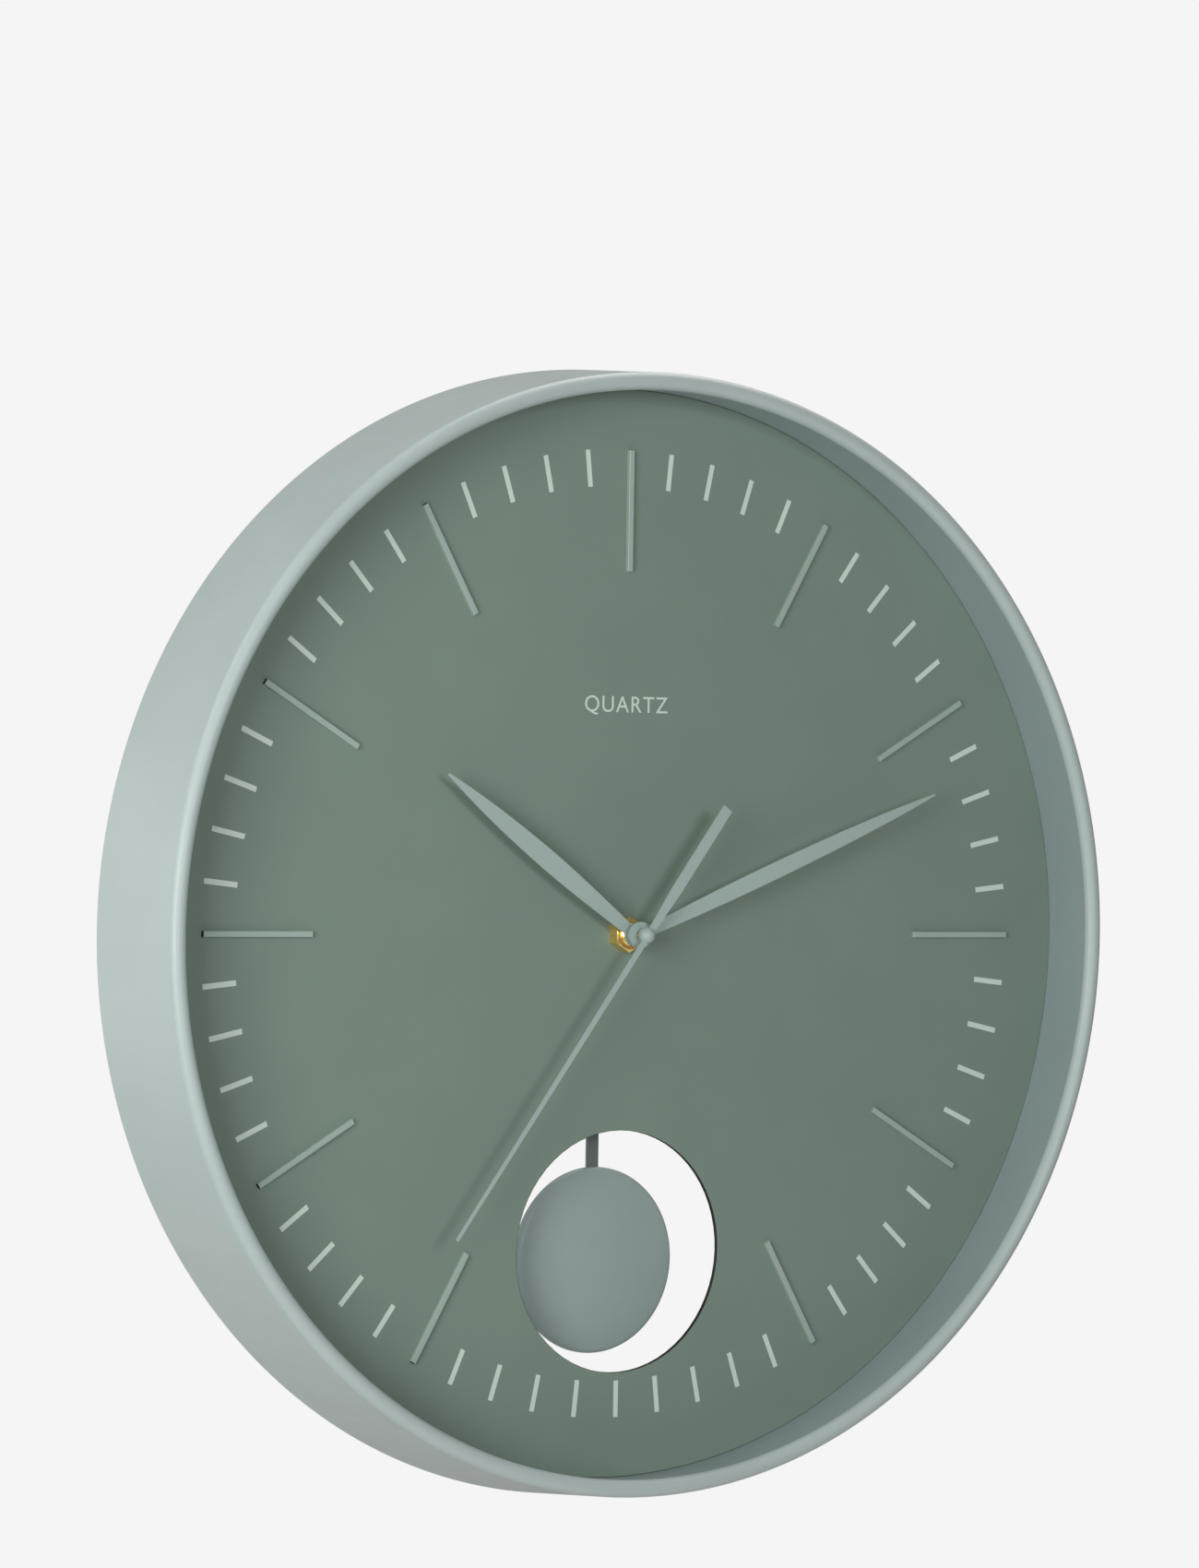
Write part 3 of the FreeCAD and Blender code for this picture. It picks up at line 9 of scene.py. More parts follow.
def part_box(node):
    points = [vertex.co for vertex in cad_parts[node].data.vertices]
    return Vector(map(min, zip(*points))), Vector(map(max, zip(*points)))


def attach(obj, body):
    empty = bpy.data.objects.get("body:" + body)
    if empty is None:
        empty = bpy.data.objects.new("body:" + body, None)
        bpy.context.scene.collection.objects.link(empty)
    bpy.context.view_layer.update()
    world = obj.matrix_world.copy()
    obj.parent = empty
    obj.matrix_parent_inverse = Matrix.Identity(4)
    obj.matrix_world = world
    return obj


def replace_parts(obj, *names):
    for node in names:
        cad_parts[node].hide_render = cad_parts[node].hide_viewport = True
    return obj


# Pendulum wall clock: the looks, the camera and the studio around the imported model.
# Everything is in metres in the model's own frame: the dial faces -Y and +Z is up.

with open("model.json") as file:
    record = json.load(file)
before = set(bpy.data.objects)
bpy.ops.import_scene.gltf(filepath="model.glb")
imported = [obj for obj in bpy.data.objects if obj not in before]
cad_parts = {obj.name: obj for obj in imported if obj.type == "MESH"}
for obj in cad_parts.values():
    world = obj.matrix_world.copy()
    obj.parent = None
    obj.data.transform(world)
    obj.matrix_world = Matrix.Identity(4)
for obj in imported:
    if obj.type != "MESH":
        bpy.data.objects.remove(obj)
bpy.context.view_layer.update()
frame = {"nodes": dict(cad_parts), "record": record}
NODES = frame["nodes"]
MM = 0.001

# Printed minute marks: every minute but the ones that carry a raised baton
MARK_INNER_R = 158.0 * MM
MARK_OUTER_R = 171.0 * MM
MARK_WIDTH = 1.9 * MM
PRINT_THICKNESS = 0.05 * MM
BATON_HOURS = (1, 2, 3, 4, 5, 7, 8, 9, 10, 11, 12)

# Dial lettering, a generic word
LETTERING = "QUARTZ"
LETTER_SIZE = 8.2 * MM
LETTER_SPACING = 1.12
LETTERING_Z = 78.4 * MM

# Sections of the turned parts
LATHE_STEPS = 384
CREASE = math.radians(30)
LIP_OUTER_R = 196.6 * MM
LIP_WIDTH = 6.2 * MM
SHELL_SHEET = 1.0 * MM
HEM_WIDTH = 4.5 * MM
RING_SHEET = 1.2 * MM
RING_R_AT_DIAL = 192.4 * MM
LEDGE_INNER_R = 184.0 * MM
BOB_RIM = 2.4 * MM
BOB_EDGE_R = 1.8 * MM
ROLL_STEPS = 20
ROLL_INNER_STEPS = 10
EDGE_STEPS = 6
DOME_STEPS = 24

# Paint colours, linear
CASE_GREEN = (0.345, 0.414, 0.404)
# The ring's green is the case paint made darker, a painted shade for the recess inside the rim
RING_SHADE_GREEN = (0.262, 0.330, 0.335)
DIAL_GREEN = (0.158, 0.215, 0.176)
HAND_GREEN = (0.292, 0.372, 0.344)
BATON_GREEN = (0.275, 0.360, 0.318)
BOB_GREEN = (0.246, 0.314, 0.305)
ROD_GREEN = (0.120, 0.148, 0.141)
PRINT_COLOUR = (0.50, 0.59, 0.52)
# Near-black painted shade, for the batons' outer end faces and the window's edge
EDGE_SHADE = (0.004, 0.006, 0.005)
FLOOR_COLOUR = (0.80, 0.79, 0.78)

# Bare metal at the two ends of the cell, and where its hoop lies as shares of its length
BATTERY_CAP = 1.6 * MM
BATTERY_FOOT = 0.8 * MM
BATTERY_HOOP = (0.84, 0.87)

# Camera, aimed at the dial
CAMERA_AZIMUTH = 33.85
CAMERA_ELEVATION = 1.242
CAMERA_ROLL = 0.877
CAMERA_DISTANCE = 1.8985
AIM_X = -9.85 * MM
AIM_Z = -0.04 * MM
LENS = 123.7
SHIFT_Y = 0.0959

# Studio
FLOOR_Z = -1.0
FLOOR_R = 2.3
BACKDROP = 0.913
SURROUND = (0.210, 0.200, 0.188)

# The dial's window, which the pendulum's bob shows through
WINDOW_R = 42.9 * MM
WINDOW_Z = -112.3 * MM

# Batons; their outer end faces are painted near-black, a painted shade
BATON_OUTER_R = 170.8 * MM

# How far before a painted-shade end face or edge, or the bare back, its own colour starts
BATON_SHADE_MARGIN = 0.05 * MM
WINDOW_SHADE_MARGIN = 0.08 * MM
BARE_BACK_MARGIN = 0.06 * MM

dial_low, dial_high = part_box("dial_plate")
DIAL_FACE_Y = dial_low.y
DIAL_BACK_Y = dial_high.y


# Building helpers

def mesh_object(name, bm, body, material):
    """Turns a bmesh, built in the row frame, into a piece that rides on a body."""
    mesh = bpy.data.meshes.new(name)
    bmesh.ops.recalc_face_normals(bm, faces=bm.faces)
    bm.to_mesh(mesh)
    bm.free()
    piece = bpy.data.objects.new(name, mesh)
    bpy.context.scene.collection.objects.link(piece)
    mesh.materials.append(material)
    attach(piece, body)
    return piece


def add_block(bm, centre, size, turn):
    """Adds a box to a bmesh, turned clockwise about the hand axis by an angle in radians."""
    placed = Matrix.Rotation(turn, 4, "Y") @ Matrix.Translation(centre) @ Matrix.Diagonal((*size, 1.0))
    bmesh.ops.create_cube(bm, size=1.0, matrix=placed)


def turned(bm, profile, steps, centre_z=0.0):
    """Adds a section's (radius, y) points at each step of a turn. Returns each step with the next."""
    sections = []
    for i in range(steps):
        across, up = math.sin(2 * math.pi * i / steps), math.cos(2 * math.pi * i / steps)
        sections.append([bm.verts.new((r * across, y, centre_z + r * up)) for r, y in profile])
    return list(zip(sections, sections[1:] + sections[:1]))


def lathe(name, profile, body, material):
    """Turns a closed section, given as (radius, y) points, about the hand axis."""
    bm = bmesh.new()
    for hoop, after in turned(bm, profile, LATHE_STEPS):
        for i in range(len(profile)):
            j = (i + 1) % len(profile)
            bm.faces.new((hoop[i], hoop[j], after[j], after[i]))
    piece = mesh_object(name, bm, body, material)
    soften(piece)
    return piece


def dome(name, node, rim, edge_r, body, material):
    """Turns a dome, with a straight rim and a rounded edge, that fills a node's box and replaces it."""
    low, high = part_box(node)
    centre_z, radius = (low.z + high.z) / 2, (high.x - low.x) / 2
    rise = high.y - rim - low.y
    ball_r = (radius ** 2 + rise ** 2) / (2 * rise)
    ball_y = low.y + ball_r
    lean = math.degrees(math.asin((radius - edge_r) / (ball_r - edge_r)))
    edge_centre = (radius - edge_r, ball_y - (ball_r - edge_r) * math.cos(math.radians(lean)))
    section = [(radius, high.y)]
    if edge_r:
        section += arc(edge_centre, edge_r, 0.0, 90.0 - lean, EDGE_STEPS)
    section += arc((0.0, ball_y), ball_r, 90.0 - lean, 90.0, DOME_STEPS)[1:-1]
    bm = bmesh.new()
    first, last = bm.verts.new((0.0, high.y, centre_z)), bm.verts.new((0.0, low.y, centre_z))
    for hoop, after in turned(bm, section, LATHE_STEPS // 2, centre_z):
        bm.faces.new((first, hoop[0], after[0]))
        bm.faces.new((last, after[-1], hoop[-1]))
        for i in range(len(hoop) - 1):
            bm.faces.new((hoop[i], hoop[i + 1], after[i + 1], after[i]))
    piece = mesh_object(name, bm, body, material)
    soften(piece)
    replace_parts(piece, node)


def soften(piece):
    """Shades a mesh smooth, but for its creases."""
    piece.data.shade_smooth()
    piece.data.set_sharp_from_angle(angle=CREASE)


def arc(centre, radius, start, end, steps):
    """Points of a section's round edge. The angles are in degrees, from +r towards -Y."""
    angles = [math.radians(start + (end - start) * i / steps) for i in range(steps + 1)]
    return [(centre[0] + radius * math.cos(a), centre[1] - radius * math.sin(a)) for a in angles]


# Finishes

def shaded(colour, amount):
    """A colour made lighter or darker in proportion."""
    return tuple(min(1.0, c * amount) for c in colour)


class Finish:
    """A node material, built up round its Principled shader."""

    def __init__(self, name, colour, roughness, metallic=0.0):
        self.material = bpy.data.materials.new(name)
        self.material.use_nodes = True
        self.tree = self.material.node_tree
        self.shader = self.tree.nodes["Principled BSDF"]
        self.colour = colour
        self.roughness = roughness
        self.shader.inputs["Base Color"].default_value = (*colour, 1.0)
        self.shader.inputs["Roughness"].default_value = roughness
        self.shader.inputs["Metallic"].default_value = metallic
        self.place = self.node("ShaderNodeTexCoord").outputs["Object"]
        self.axes = None

    def node(self, kind, inputs=(), **settings):
        """A node, with numbers or links for its inputs."""
        made = self.tree.nodes.new(kind)
        for key, value in settings.items():
            setattr(made, key, value)
        for key, value in dict(inputs).items():
            if isinstance(value, bpy.types.NodeSocket):
                self.tree.links.new(value, made.inputs[key])
            else:
                made.inputs[key].default_value = value
        return made

    def drive(self, socket, output):
        self.tree.links.new(output, self.shader.inputs[socket])

    # Places

    def stretched(self, *scale):
        """The place, stretched along each axis."""
        return self.node("ShaderNodeMapping", {"Vector": self.place, "Scale": scale}).outputs["Vector"]

    def along(self, axis):
        """The place along one axis, in metres."""
        if self.axes is None:
            self.axes = self.node("ShaderNodeSeparateXYZ", {"Vector": self.place})
        return self.axes.outputs[axis]

    def from_axis(self, x, z):
        """How far the place is from a line that runs front to back."""
        kind = "ShaderNodeVectorMath"
        moved = self.node(kind, {0: self.place, 1: (x, 0.0, z)}, operation="SUBTRACT").outputs[0]
        flat = self.node(kind, {0: moved, 1: (1.0, 0.0, 1.0)}, operation="MULTIPLY").outputs[0]
        return self.node(kind, {0: flat}, operation="LENGTH").outputs["Value"]

    # Patterns, each from 0 to 1

    def noise(self, scale, detail=3.0, place=None):
        settings = {"Vector": place or self.place, "Scale": scale, "Detail": detail}
        return self.node("ShaderNodeTexNoise", settings).outputs["Fac"]

    def cells(self, scale, output="Distance"):
        return self.node("ShaderNodeTexVoronoi", {"Vector": self.place, "Scale": scale}).outputs[output]

    def wave(self, pitch, **settings):
        inputs = {"Vector": self.place, "Scale": math.pi / (10.0 * pitch), "Distortion": 0.0}
        return self.node("ShaderNodeTexWave", inputs, **settings).outputs["Fac"]

    def lines(self, pitch, direction):
        """Parallel ridges, a pitch apart along an axis."""
        return self.wave(pitch, bands_direction=direction)

    def rings(self, pitch):
        """Turning marks, a pitch apart, about the hand axis."""
        return self.wave(pitch, wave_type="RINGS", rings_direction="Y")

    # Arithmetic

    def ranged(self, value, low, high, start=0.3, end=0.7):
        """Maps a value from start..end to low..high."""
        settings = {"Value": value, "From Min": start, "From Max": end, "To Min": low, "To Max": high}
        return self.node("ShaderNodeMapRange", settings).outputs["Result"]

    def step(self, value, edge, width=0.02 * MM):
        """0 below an edge and 1 above it."""
        return self.ranged(value, 0.0, 1.0, edge - width, edge + width)

    def inverted(self, value):
        return self.ranged(value, 1.0, 0.0, 0.0, 1.0)

    def product(self, first, second):
        return self.node("ShaderNodeMath", {0: first, 1: second}, operation="MULTIPLY").outputs[0]

    def mixed(self, factor, first, second):
        """A colour between two others, each a node output or three numbers."""
        made = self.node("ShaderNodeMix", {"Factor": factor}, data_type="RGBA")
        for index, colour in ((6, first), (7, second)):
            if isinstance(colour, tuple):
                made.inputs[index].default_value = (*colour, 1.0)
            else:
                self.tree.links.new(colour, made.inputs[index])
        return made.outputs[2]

    # Layers

    def mottle(self, scale, amount, detail=4.0, place=None):
        """Varies the colour about its own by an amount, in soft patches."""
        patches = self.ranged(self.noise(scale, detail, place), 0.0, 1.0)
        low, high = shaded(self.colour, 1.0 - amount), shaded(self.colour, 1.0 + amount)
        varied = self.mixed(patches, low, high)
        self.drive("Base Color", varied)
        return varied

    def uneven_gloss(self, scale, amount):
        patches = self.noise(scale)
        self.drive("Roughness", self.ranged(patches, self.roughness - amount, self.roughness + amount))

    def bump(self, height, distance, strength=1.0):
        """Adds a layer of bump over any that is there."""
        settings = {"Height": height, "Distance": distance, "Strength": strength}
        before = self.shader.inputs["Normal"].links
        if before:
            settings["Normal"] = before[0].from_socket
        self.drive("Normal", self.node("ShaderNodeBump", settings).outputs["Normal"])


def sprayed_paint(name, colour, roughness, peel=1.0):
    """Stoved paint: fine orange peel, a faint mottle and a little variation in gloss."""
    paint = Finish(name, colour, roughness)
    paint.mottle(28.0, 0.025)
    paint.uneven_gloss(160.0, 0.04)
    paint.bump(paint.noise(800.0, 2.0), 0.012 * MM * peel, 0.6)
    paint.bump(paint.noise(3600.0, 2.0), 0.004 * MM * peel, 0.6)
    return paint


def baton_finish():
    """Paint, with a near-black painted shade on each outer end face."""
    paint = sprayed_paint("baton_paint", BATON_GREEN, 0.55, 0.6)
    painted = paint.shader.inputs["Base Color"].links[0].from_socket
    end_shade = paint.step(paint.from_axis(0.0, 0.0), BATON_OUTER_R - BATON_SHADE_MARGIN)
    paint.drive("Base Color", paint.mixed(end_shade, painted, EDGE_SHADE))
    return paint


def dial_finish():
    """Matte paint in front, a near-black painted shade on the window's edge and mill-finish aluminium
    behind.
    """
    paint = sprayed_paint("dial_paint", DIAL_GREEN, 0.62, 0.6)
    front = paint.shader.inputs["Base Color"].links[0].from_socket
    # Painted shade: the window's edge is drawn near-black
    window_shade = paint.step(paint.from_axis(0.0, WINDOW_Z), WINDOW_R + WINDOW_SHADE_MARGIN)
    grain = paint.noise(260.0, 3.0, paint.stretched(0.02, 1.0, 1.0))
    back = paint.step(paint.along("Y"), DIAL_BACK_Y - BARE_BACK_MARGIN)
    metal = paint.mixed(paint.ranged(grain, 0.0, 1.0), (0.50, 0.51, 0.52), (0.62, 0.63, 0.64))
    shaded_front = paint.mixed(window_shade, EDGE_SHADE, front)
    paint.drive("Base Color", paint.mixed(back, shaded_front, metal))
    paint.drive("Metallic", back)
    paint.drive("Roughness", paint.ranged(back, paint.roughness, 0.36, 0.0, 1.0))
    paint.shader.inputs["Specular IOR Level"].default_value = 0.25
    return paint


def turned_brass():
    brass = Finish("brass", (0.93, 0.66, 0.22), 0.26, 0.88)
    brass.mottle(700.0, 0.08)
    brass.uneven_gloss(900.0, 0.07)
    brass.bump(brass.rings(0.16 * MM), 0.006 * MM, 0.5)
    return brass


def zinc_plate():
    """Zinc plating: a faint spangle under a slightly milky passivated skin."""
    zinc = Finish("zinc_steel", (0.60, 0.62, 0.64), 0.36, 1.0)
    spangle = zinc.cells(420.0, "Color")
    grey = zinc.node("ShaderNodeRGBToBW", {"Color": spangle}).outputs[0]
    zinc.drive("Base Color", zinc.mixed(grey, (0.52, 0.55, 0.58), (0.67, 0.68, 0.68)))
    zinc.drive("Roughness", zinc.ranged(grey, 0.28, 0.44, 0.0, 1.0))
    zinc.bump(zinc.noise(1500.0), 0.01 * MM, 0.5)
    return zinc


def ground_steel():
    """Pin stock with fine grinding marks round it."""
    steel = Finish("polished_steel", (0.66, 0.66, 0.67), 0.2, 1.0)
    marks = steel.noise(900.0, 2.0, steel.stretched(0.05, 8.0, 0.05))
    steel.drive("Base Color", steel.mixed(marks, (0.58, 0.58, 0.59), (0.72, 0.72, 0.73)))
    steel.drive("Roughness", steel.ranged(marks, 0.12, 0.3))
    steel.bump(marks, 0.004 * MM, 0.5)
    return steel


def laminated_iron():
    """Stamped sheets stacked front to back, with a thin oxide on them."""
    iron = Finish("soft_iron", (0.24, 0.235, 0.24), 0.46, 1.0)
    sheets = iron.lines(0.35 * MM, "Y")
    oxide = iron.ranged(iron.noise(500.0, 4.0), 0.0, 1.0)
    bare = iron.mixed(oxide, (0.30, 0.30, 0.31), (0.17, 0.165, 0.18))
    gap = iron.step(sheets, 0.2, 0.15)
    iron.drive("Base Color", iron.mixed(gap, (0.06, 0.055, 0.055), bare))
    iron.uneven_gloss(700.0, 0.1)
    iron.bump(sheets, 0.03 * MM, 0.7)
    return iron


def sintered_magnet():
    magnet = Finish("magnet", (0.055, 0.055, 0.06), 0.6, 0.3)
    grains = magnet.cells(2600.0)
    magnet.drive("Base Color", magnet.mixed(grains, (0.09, 0.09, 0.095), (0.03, 0.03, 0.033)))
    magnet.uneven_gloss(1200.0, 0.12)
    magnet.bump(grains, 0.02 * MM, 0.5)
    return magnet


def moulded(name, colour, roughness, grain, depth):
    """Moulded plastic: a spark-eroded grain of its own scale, faint flow marks and uneven gloss."""
    plastic = Finish(name, colour, roughness)
    plastic.mottle(90.0, 0.06, 3.0, plastic.stretched(1.0, 1.0, 0.35))
    plastic.uneven_gloss(420.0, 0.07)
    plastic.bump(plastic.noise(grain, 4.0), depth, 0.7)
    return plastic


def rubber_sheet():
    """Black rubber with a pale bloom in patches."""
    rubber = Finish("gasket_rubber", (0.02, 0.02, 0.021), 0.8)
    bloom = rubber.ranged(rubber.noise(240.0, 5.0), 0.0, 1.0, 0.45, 0.75)
    rubber.drive("Base Color", rubber.mixed(bloom, (0.018, 0.018, 0.019), (0.06, 0.06, 0.062)))
    rubber.uneven_gloss(300.0, 0.08)
    rubber.bump(rubber.noise(2400.0), 0.02 * MM, 0.6)
    return rubber


def wound_wire():
    """Enamelled wire, laid side by side along the bobbin, with painted shade between the turns and a
    painted highlight on each.
    """
    wire = Finish("copper_wire", (0.62, 0.22, 0.075), 0.28, 0.9)
    turns = wire.lines(0.14 * MM, "X")
    across = wire.lines(0.14 * MM, "Y")
    both = wire.product(turns, across)
    # Painted shade and painted highlight: darker in the grooves between turns, lighter on the crests
    wire.drive("Base Color", wire.mixed(both, (0.30, 0.09, 0.03), (0.74, 0.30, 0.11)))
    wire.uneven_gloss(600.0, 0.06)
    wire.bump(both, 0.04 * MM, 0.8)
    return wire


def circuit_board():
    """Green solder mask over copper tracks, with tinned pads."""
    board = Finish("board", (0.012, 0.09, 0.035), 0.32)
    flat = board.node("ShaderNodeCombineXYZ", {"X": board.along("X"), "Y": board.along("Z")}).outputs[0]
    layout = {
        "Vector": flat, "Scale": 1.0, "Mortar Size": 0.16 * MM, "Mortar Smooth": 0.1, "Bias": 0.0,
        "Brick Width": 3.1 * MM, "Row Height": 1.05 * MM,
    }
    tracks = board.node("ShaderNodeTexBrick", layout, offset=0.37).outputs["Fac"]
    mask = board.mixed(tracks, (0.010, 0.075, 0.030), (0.035, 0.16, 0.055))
    pads = board.step(board.cells(330.0), 0.16, 0.02)
    board.drive("Base Color", board.mixed(pads, (0.62, 0.61, 0.57), mask))
    board.drive("Metallic", board.inverted(pads))
    board.uneven_gloss(300.0, 0.05)
    board.bump(tracks, 0.035 * MM, 0.7)
    return board


def potting_resin():
    resin = Finish("chip_resin", (0.012, 0.012, 0.013), 0.22)
    resin.mottle(500.0, 0.3)
    resin.uneven_gloss(400.0, 0.08)
    resin.bump(resin.noise(450.0, 2.0), 0.08 * MM, 0.6)
    return resin


def drawn_metal(name, colour, roughness, stretch):
    """Bright metal with fine lines left by drawing or rolling."""
    metal = Finish(name, colour, roughness, 1.0)
    lines = metal.noise(1400.0, 3.0, metal.stretched(*stretch))
    metal.drive("Base Color", metal.mixed(lines, shaded(colour, 0.88), shaded(colour, 1.08)))
    metal.drive("Roughness", metal.ranged(lines, roughness - 0.07, roughness + 0.1))
    metal.bump(lines, 0.006 * MM, 0.5)
    return metal


def printed_sleeve():
    """The cell's dark printed sleeve, with a pale hoop near its bare metal end."""
    low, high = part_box("battery")
    sleeve = Finish("battery_sleeve", (0.018, 0.022, 0.028), 0.3)
    printed = sleeve.mottle(60.0, 0.12)
    along = sleeve.along("X")
    span = high.x - low.x
    hoop_start, hoop_end = (sleeve.step(along, low.x + share * span) for share in BATTERY_HOOP)
    hoop = sleeve.product(hoop_start, sleeve.inverted(hoop_end))
    hooped = sleeve.mixed(hoop, printed, (0.42, 0.45, 0.46))
    head = sleeve.step(along, high.x - BATTERY_CAP)
    tail = sleeve.inverted(sleeve.step(along, low.x + BATTERY_FOOT))
    bare = sleeve.node("ShaderNodeMath", {0: head, 1: tail}, operation="MAXIMUM").outputs[0]
    sleeve.drive("Base Color", sleeve.mixed(bare, hooped, (0.66, 0.65, 0.63)))
    sleeve.drive("Metallic", bare)
    sleeve.uneven_gloss(260.0, 0.06)
    sleeve.bump(sleeve.noise(1800.0, 2.0), 0.006 * MM, 0.5)
    return sleeve


MOVEMENT_BLACK = (0.016, 0.017, 0.019)
KNOB_GREY = (0.34, 0.35, 0.34)
BRIDGE_IVORY = (0.50, 0.48, 0.40)
GEAR_IVORY = (0.72, 0.68, 0.57)
CAN_SILVER = (0.70, 0.70, 0.69)
CONTACT_NICKEL = (0.68, 0.66, 0.60)

FINISHES = {
    "case_paint": lambda: sprayed_paint("case_paint", CASE_GREEN, 0.44),
    "dial_paint": dial_finish,
    "baton_paint": baton_finish,
    "hand_paint": lambda: sprayed_paint("hand_paint", HAND_GREEN, 0.5, 0.6),
    "bob_paint": lambda: sprayed_paint("bob_paint", BOB_GREEN, 0.5),
    "rod_paint": lambda: sprayed_paint("rod_paint", ROD_GREEN, 0.5),
    "brass": turned_brass,
    "zinc_steel": zinc_plate,
    "polished_steel": ground_steel,
    "soft_iron": laminated_iron,
    "magnet": sintered_magnet,
    "movement_plastic": lambda: moulded("movement_plastic", MOVEMENT_BLACK, 0.5, 2200.0, 0.03 * MM),
    "knob_plastic": lambda: moulded("knob_plastic", KNOB_GREY, 0.45, 1800.0, 0.015 * MM),
    "bridge_plastic": lambda: moulded("bridge_plastic", BRIDGE_IVORY, 0.42, 1500.0, 0.012 * MM),
    "gear_plastic": lambda: moulded("gear_plastic", GEAR_IVORY, 0.36, 2600.0, 0.008 * MM),
    "gasket_rubber": rubber_sheet,
    "copper_wire": wound_wire,
    "board": circuit_board,
    "chip_resin": potting_resin,
    "crystal_can": lambda: drawn_metal("crystal_can", CAN_SILVER, 0.24, (0.05, 1.0, 1.0)),
    "contact_metal": lambda: drawn_metal("contact_metal", CONTACT_NICKEL, 0.28, (1.0, 1.0, 0.06)),
    "battery_sleeve": printed_sleeve,
}


def dress_nodes():
    """Gives each node of the frame its finish, by its slot in the record, and returns the finishes."""
    made = {slot: finish().material for slot, finish in FINISHES.items()}
    for row in frame["record"]["subparts"]:
        slots = NODES[row["node"]].data.materials
        slots.clear()
        slots.append(made[row["material_slot"]])
    return made


def build_case(case_finish, ring_shade_finish):
    """The spun shell and the ring inside it, turned finely so that the rim stays round."""
    low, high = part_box("case_shell")
    rear_r, front_y = high.x, low.y
    roll_r = LIP_WIDTH / 2
    roll = (LIP_OUTER_R - roll_r, front_y + roll_r)
    hem_y = -SHELL_SHEET
    shell = arc(roll, roll_r, 0.0, 180.0, ROLL_STEPS)
    shell += arc(roll, roll_r - SHELL_SHEET, 180.0, 0.0, ROLL_INNER_STEPS)
    shell += [(rear_r - SHELL_SHEET, hem_y), (rear_r - HEM_WIDTH, hem_y)]
    shell += [(rear_r - HEM_WIDTH, 0.0), (rear_r, 0.0)]
    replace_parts(lathe("spun_shell", shell, "clock_body", case_finish), "case_shell")

    lip_inner_r = LIP_OUTER_R - LIP_WIDTH
    ring_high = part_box("inner_ring")[1]
    ledge_outer_r = ring_high.x
    ring = [
        (lip_inner_r, roll[1]), (lip_inner_r + RING_SHEET, roll[1]),
        (RING_R_AT_DIAL + RING_SHEET, DIAL_BACK_Y), (ledge_outer_r, DIAL_BACK_Y),
        (ledge_outer_r, ring_high.y), (LEDGE_INNER_R, ring_high.y),
        (LEDGE_INNER_R, DIAL_BACK_Y), (RING_R_AT_DIAL, DIAL_BACK_Y),
    ]
    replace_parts(lathe("rim_ring", ring, "clock_body", ring_shade_finish), "inner_ring")


def build_minute_marks(print_ink):
    """Thin printed strips on the dial's face, in one piece."""
    bm = bmesh.new()
    size = (MARK_WIDTH, PRINT_THICKNESS, MARK_OUTER_R - MARK_INNER_R)
    centre = Vector((0.0, DIAL_FACE_Y - PRINT_THICKNESS / 2, (MARK_INNER_R + MARK_OUTER_R) / 2))
    for minute in range(60):
        if minute % 5 == 0 and (minute // 5 or 12) in BATON_HOURS:
            continue
        add_block(bm, centre, size, math.radians(6 * minute))
    mesh_object("minute_marks", bm, "clock_body", print_ink)


def build_lettering(print_ink):
    """A generic word, printed under twelve o'clock."""
    curve = bpy.data.curves.new("lettering_curve", "FONT")
    curve.body = LETTERING
    curve.size = LETTER_SIZE
    curve.space_character = LETTER_SPACING
    curve.align_x = "CENTER"
    curve.extrude = PRINT_THICKNESS / 2
    curve.resolution_u = 6
    text = bpy.data.objects.new("lettering_curve", curve)
    bpy.context.scene.collection.objects.link(text)
    flat = bpy.data.meshes.new_from_object(text.evaluated_get(bpy.context.evaluated_depsgraph_get()))
    bpy.data.objects.remove(text)
    bm = bmesh.new()
    bm.from_mesh(flat)
    bmesh.ops.remove_doubles(bm, verts=bm.verts, dist=0.5e-6)
    upright = Matrix.Translation((0.0, DIAL_FACE_Y - PRINT_THICKNESS / 2, LETTERING_Z))
    bmesh.ops.transform(bm, matrix=upright @ Matrix.Rotation(math.pi / 2, 4, "X"), verts=bm.verts)
    mesh_object("dial_lettering", bm, "clock_body", print_ink)


def soft_light(name, azimuth, elevation, distance, size, strength, tint=(1.0, 1.0, 1.0)):
    """Square area light aimed at the dial. Azimuth 0 is in front of it and negative is to its left."""
    a, e = math.radians(azimuth), math.radians(elevation)
    away = Vector((math.sin(a) * math.cos(e), -math.cos(a) * math.cos(e), math.sin(e)))
    lamp = bpy.data.lights.new(name, "AREA")
    lamp.size = size
    lamp.energy = strength * (math.pi * distance) ** 2
    lamp.color = tint
    made = bpy.data.objects.new(name, lamp)
    made.location = Vector((0.0, DIAL_FACE_Y, 0.0)) + away * distance
    made.rotation_euler = (-away).to_track_quat("-Z", "Y").to_euler()
    bpy.context.scene.collection.objects.link(made)


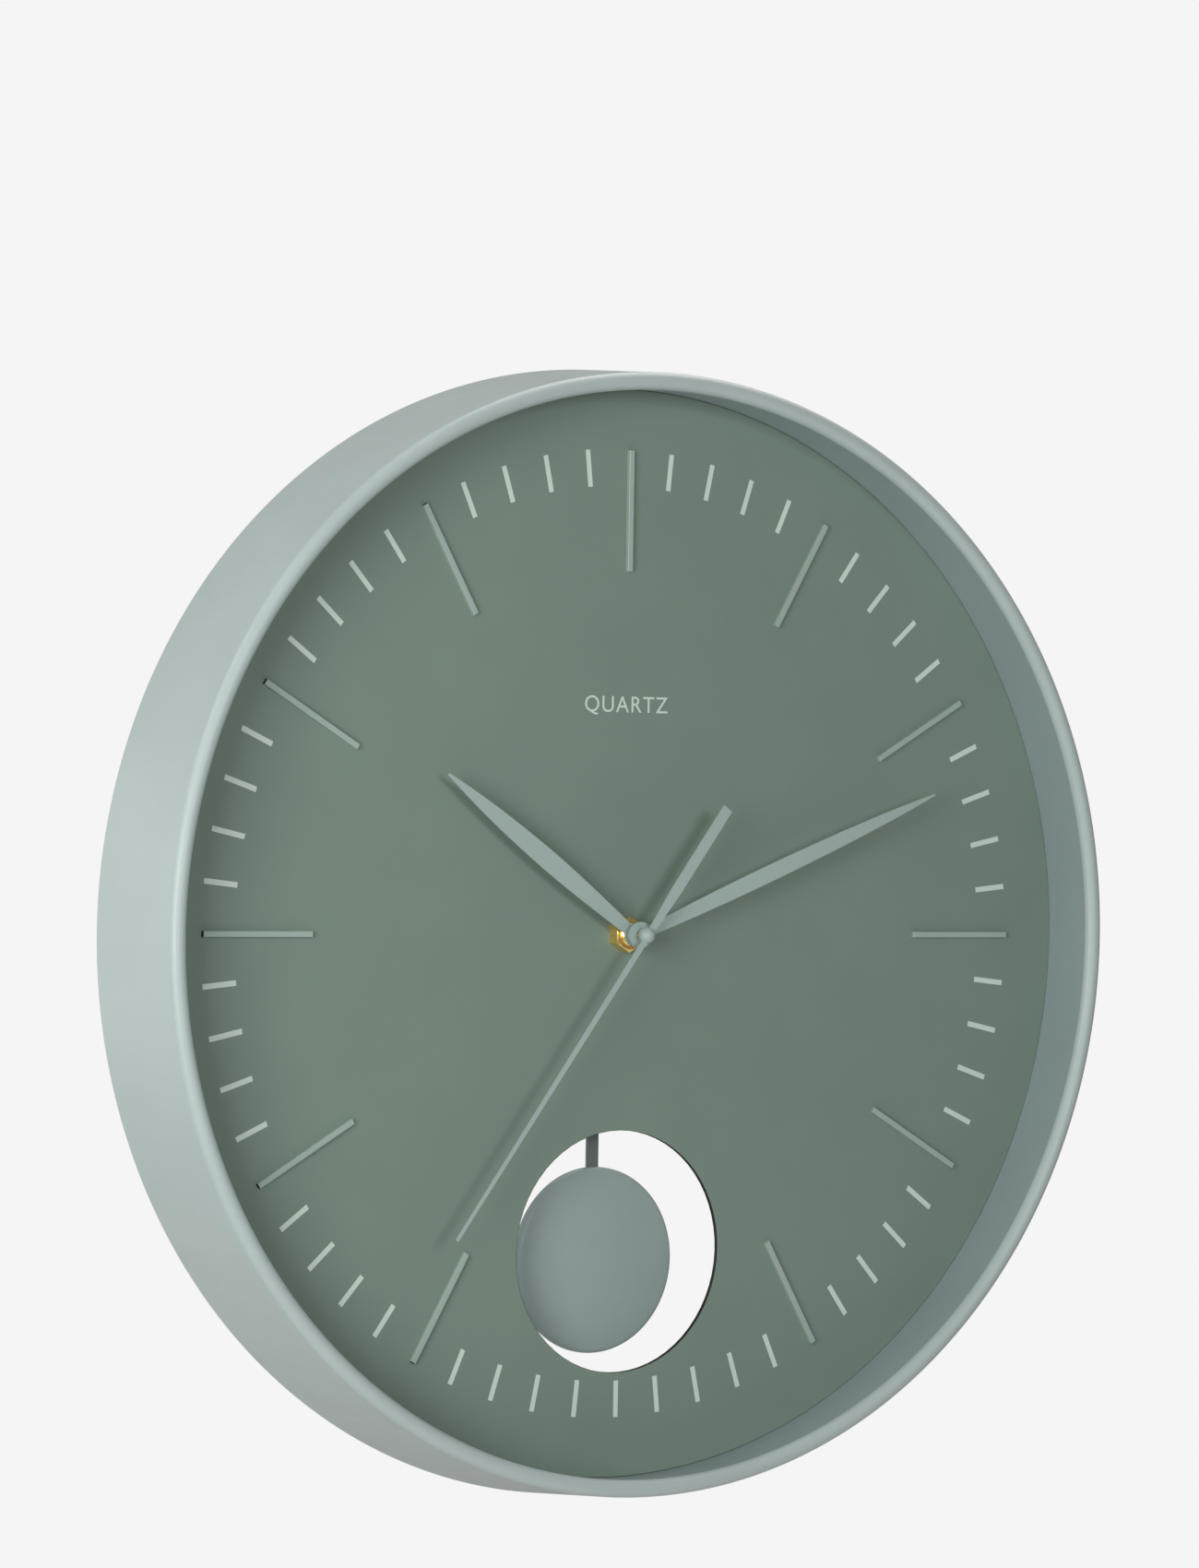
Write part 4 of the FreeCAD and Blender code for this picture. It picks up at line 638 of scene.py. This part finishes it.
def build_studio():
    """A pale floor well below the clock, a plain bright surround and soft boxes."""
    world = bpy.data.worlds.new("studio")
    world.use_nodes = True
    nodes, links = world.node_tree.nodes, world.node_tree.links
    seen, surround = nodes["Background"], nodes.new("ShaderNodeBackground")
    seen.inputs["Color"].default_value = (BACKDROP, BACKDROP, BACKDROP, 1.0)
    surround.inputs["Color"].default_value = (*SURROUND, 1.0)
    choice = nodes.new("ShaderNodeMixShader")
    links.new(nodes.new("ShaderNodeLightPath").outputs["Is Camera Ray"], choice.inputs["Fac"])
    links.new(surround.outputs[0], choice.inputs[1])
    links.new(seen.outputs[0], choice.inputs[2])
    links.new(choice.outputs[0], nodes["World Output"].inputs["Surface"])
    bpy.context.scene.world = world
    bpy.context.scene.view_settings.view_transform = "Standard"

    bm = bmesh.new()
    bmesh.ops.create_circle(bm, cap_ends=True, segments=96, radius=FLOOR_R)
    bmesh.ops.translate(bm, verts=bm.verts, vec=(0.0, 0.0, FLOOR_Z))
    mesh = bpy.data.meshes.new("floor")
    bm.to_mesh(mesh)
    bm.free()
    floor = bpy.data.objects.new("floor", mesh)
    bpy.context.scene.collection.objects.link(floor)
    paper = Finish("floor", FLOOR_COLOUR, 0.85)
    paper.mottle(3.0, 0.01)
    mesh.materials.append(paper.material)

    # Name, azimuth, elevation, distance, width and height, strength against a surround of one, tint
    soft_light("key", -10.0, 8.0, 1.8, 0.42, 0.33, (0.99, 1.0, 1.04))
    soft_light("left_box", -57.0, 5.0, 1.3, 0.56, 0.67)
    soft_light("rear_left_box", -100.0, 32.0, 2.0, 1.0, 0.27, (1.03, 1.0, 1.04))
    soft_light("rear_box", -160.0, 0.0, 2.0, 1.0, 0.28)
    soft_light("overhead_box", 112.0, 62.0, 2.0, 1.4, 0.68, (1.06, 1.0, 0.99))


def build_camera():
    a, e = math.radians(CAMERA_AZIMUTH), math.radians(CAMERA_ELEVATION)
    back = Vector((-math.sin(a) * math.cos(e), -math.cos(a) * math.cos(e), math.sin(e)))
    data = bpy.data.cameras.new("camera")
    data.lens = LENS
    data.shift_y = SHIFT_Y
    camera = bpy.data.objects.new("camera", data)
    aim = Vector((AIM_X, DIAL_FACE_Y, AIM_Z))
    level = (-back).to_track_quat("-Z", "Y").to_matrix()
    roll = Matrix.Rotation(math.radians(CAMERA_ROLL), 3, back)
    camera.matrix_world = Matrix.Translation(aim + back * CAMERA_DISTANCE) @ (roll @ level).to_4x4()
    bpy.context.scene.collection.objects.link(camera)
    bpy.context.scene.camera = camera


finishes = dress_nodes()
print_ink = sprayed_paint("dial_print", PRINT_COLOUR, 0.6, 0.5).material
# The ring inside the rim gets a darker copy of the case paint, a painted shade
build_case(finishes["case_paint"], sprayed_paint("ring_shade_paint", RING_SHADE_GREEN, 0.42).material)
dome("domed_bob", "pendulum_bob", BOB_RIM, BOB_EDGE_R, "pendulum", finishes["bob_paint"])
dome("button_cap", "second_cap", 0.0, 0.0, "seconds_group", finishes["hand_paint"])
build_minute_marks(print_ink)
build_lettering(print_ink)
build_studio()
build_camera()
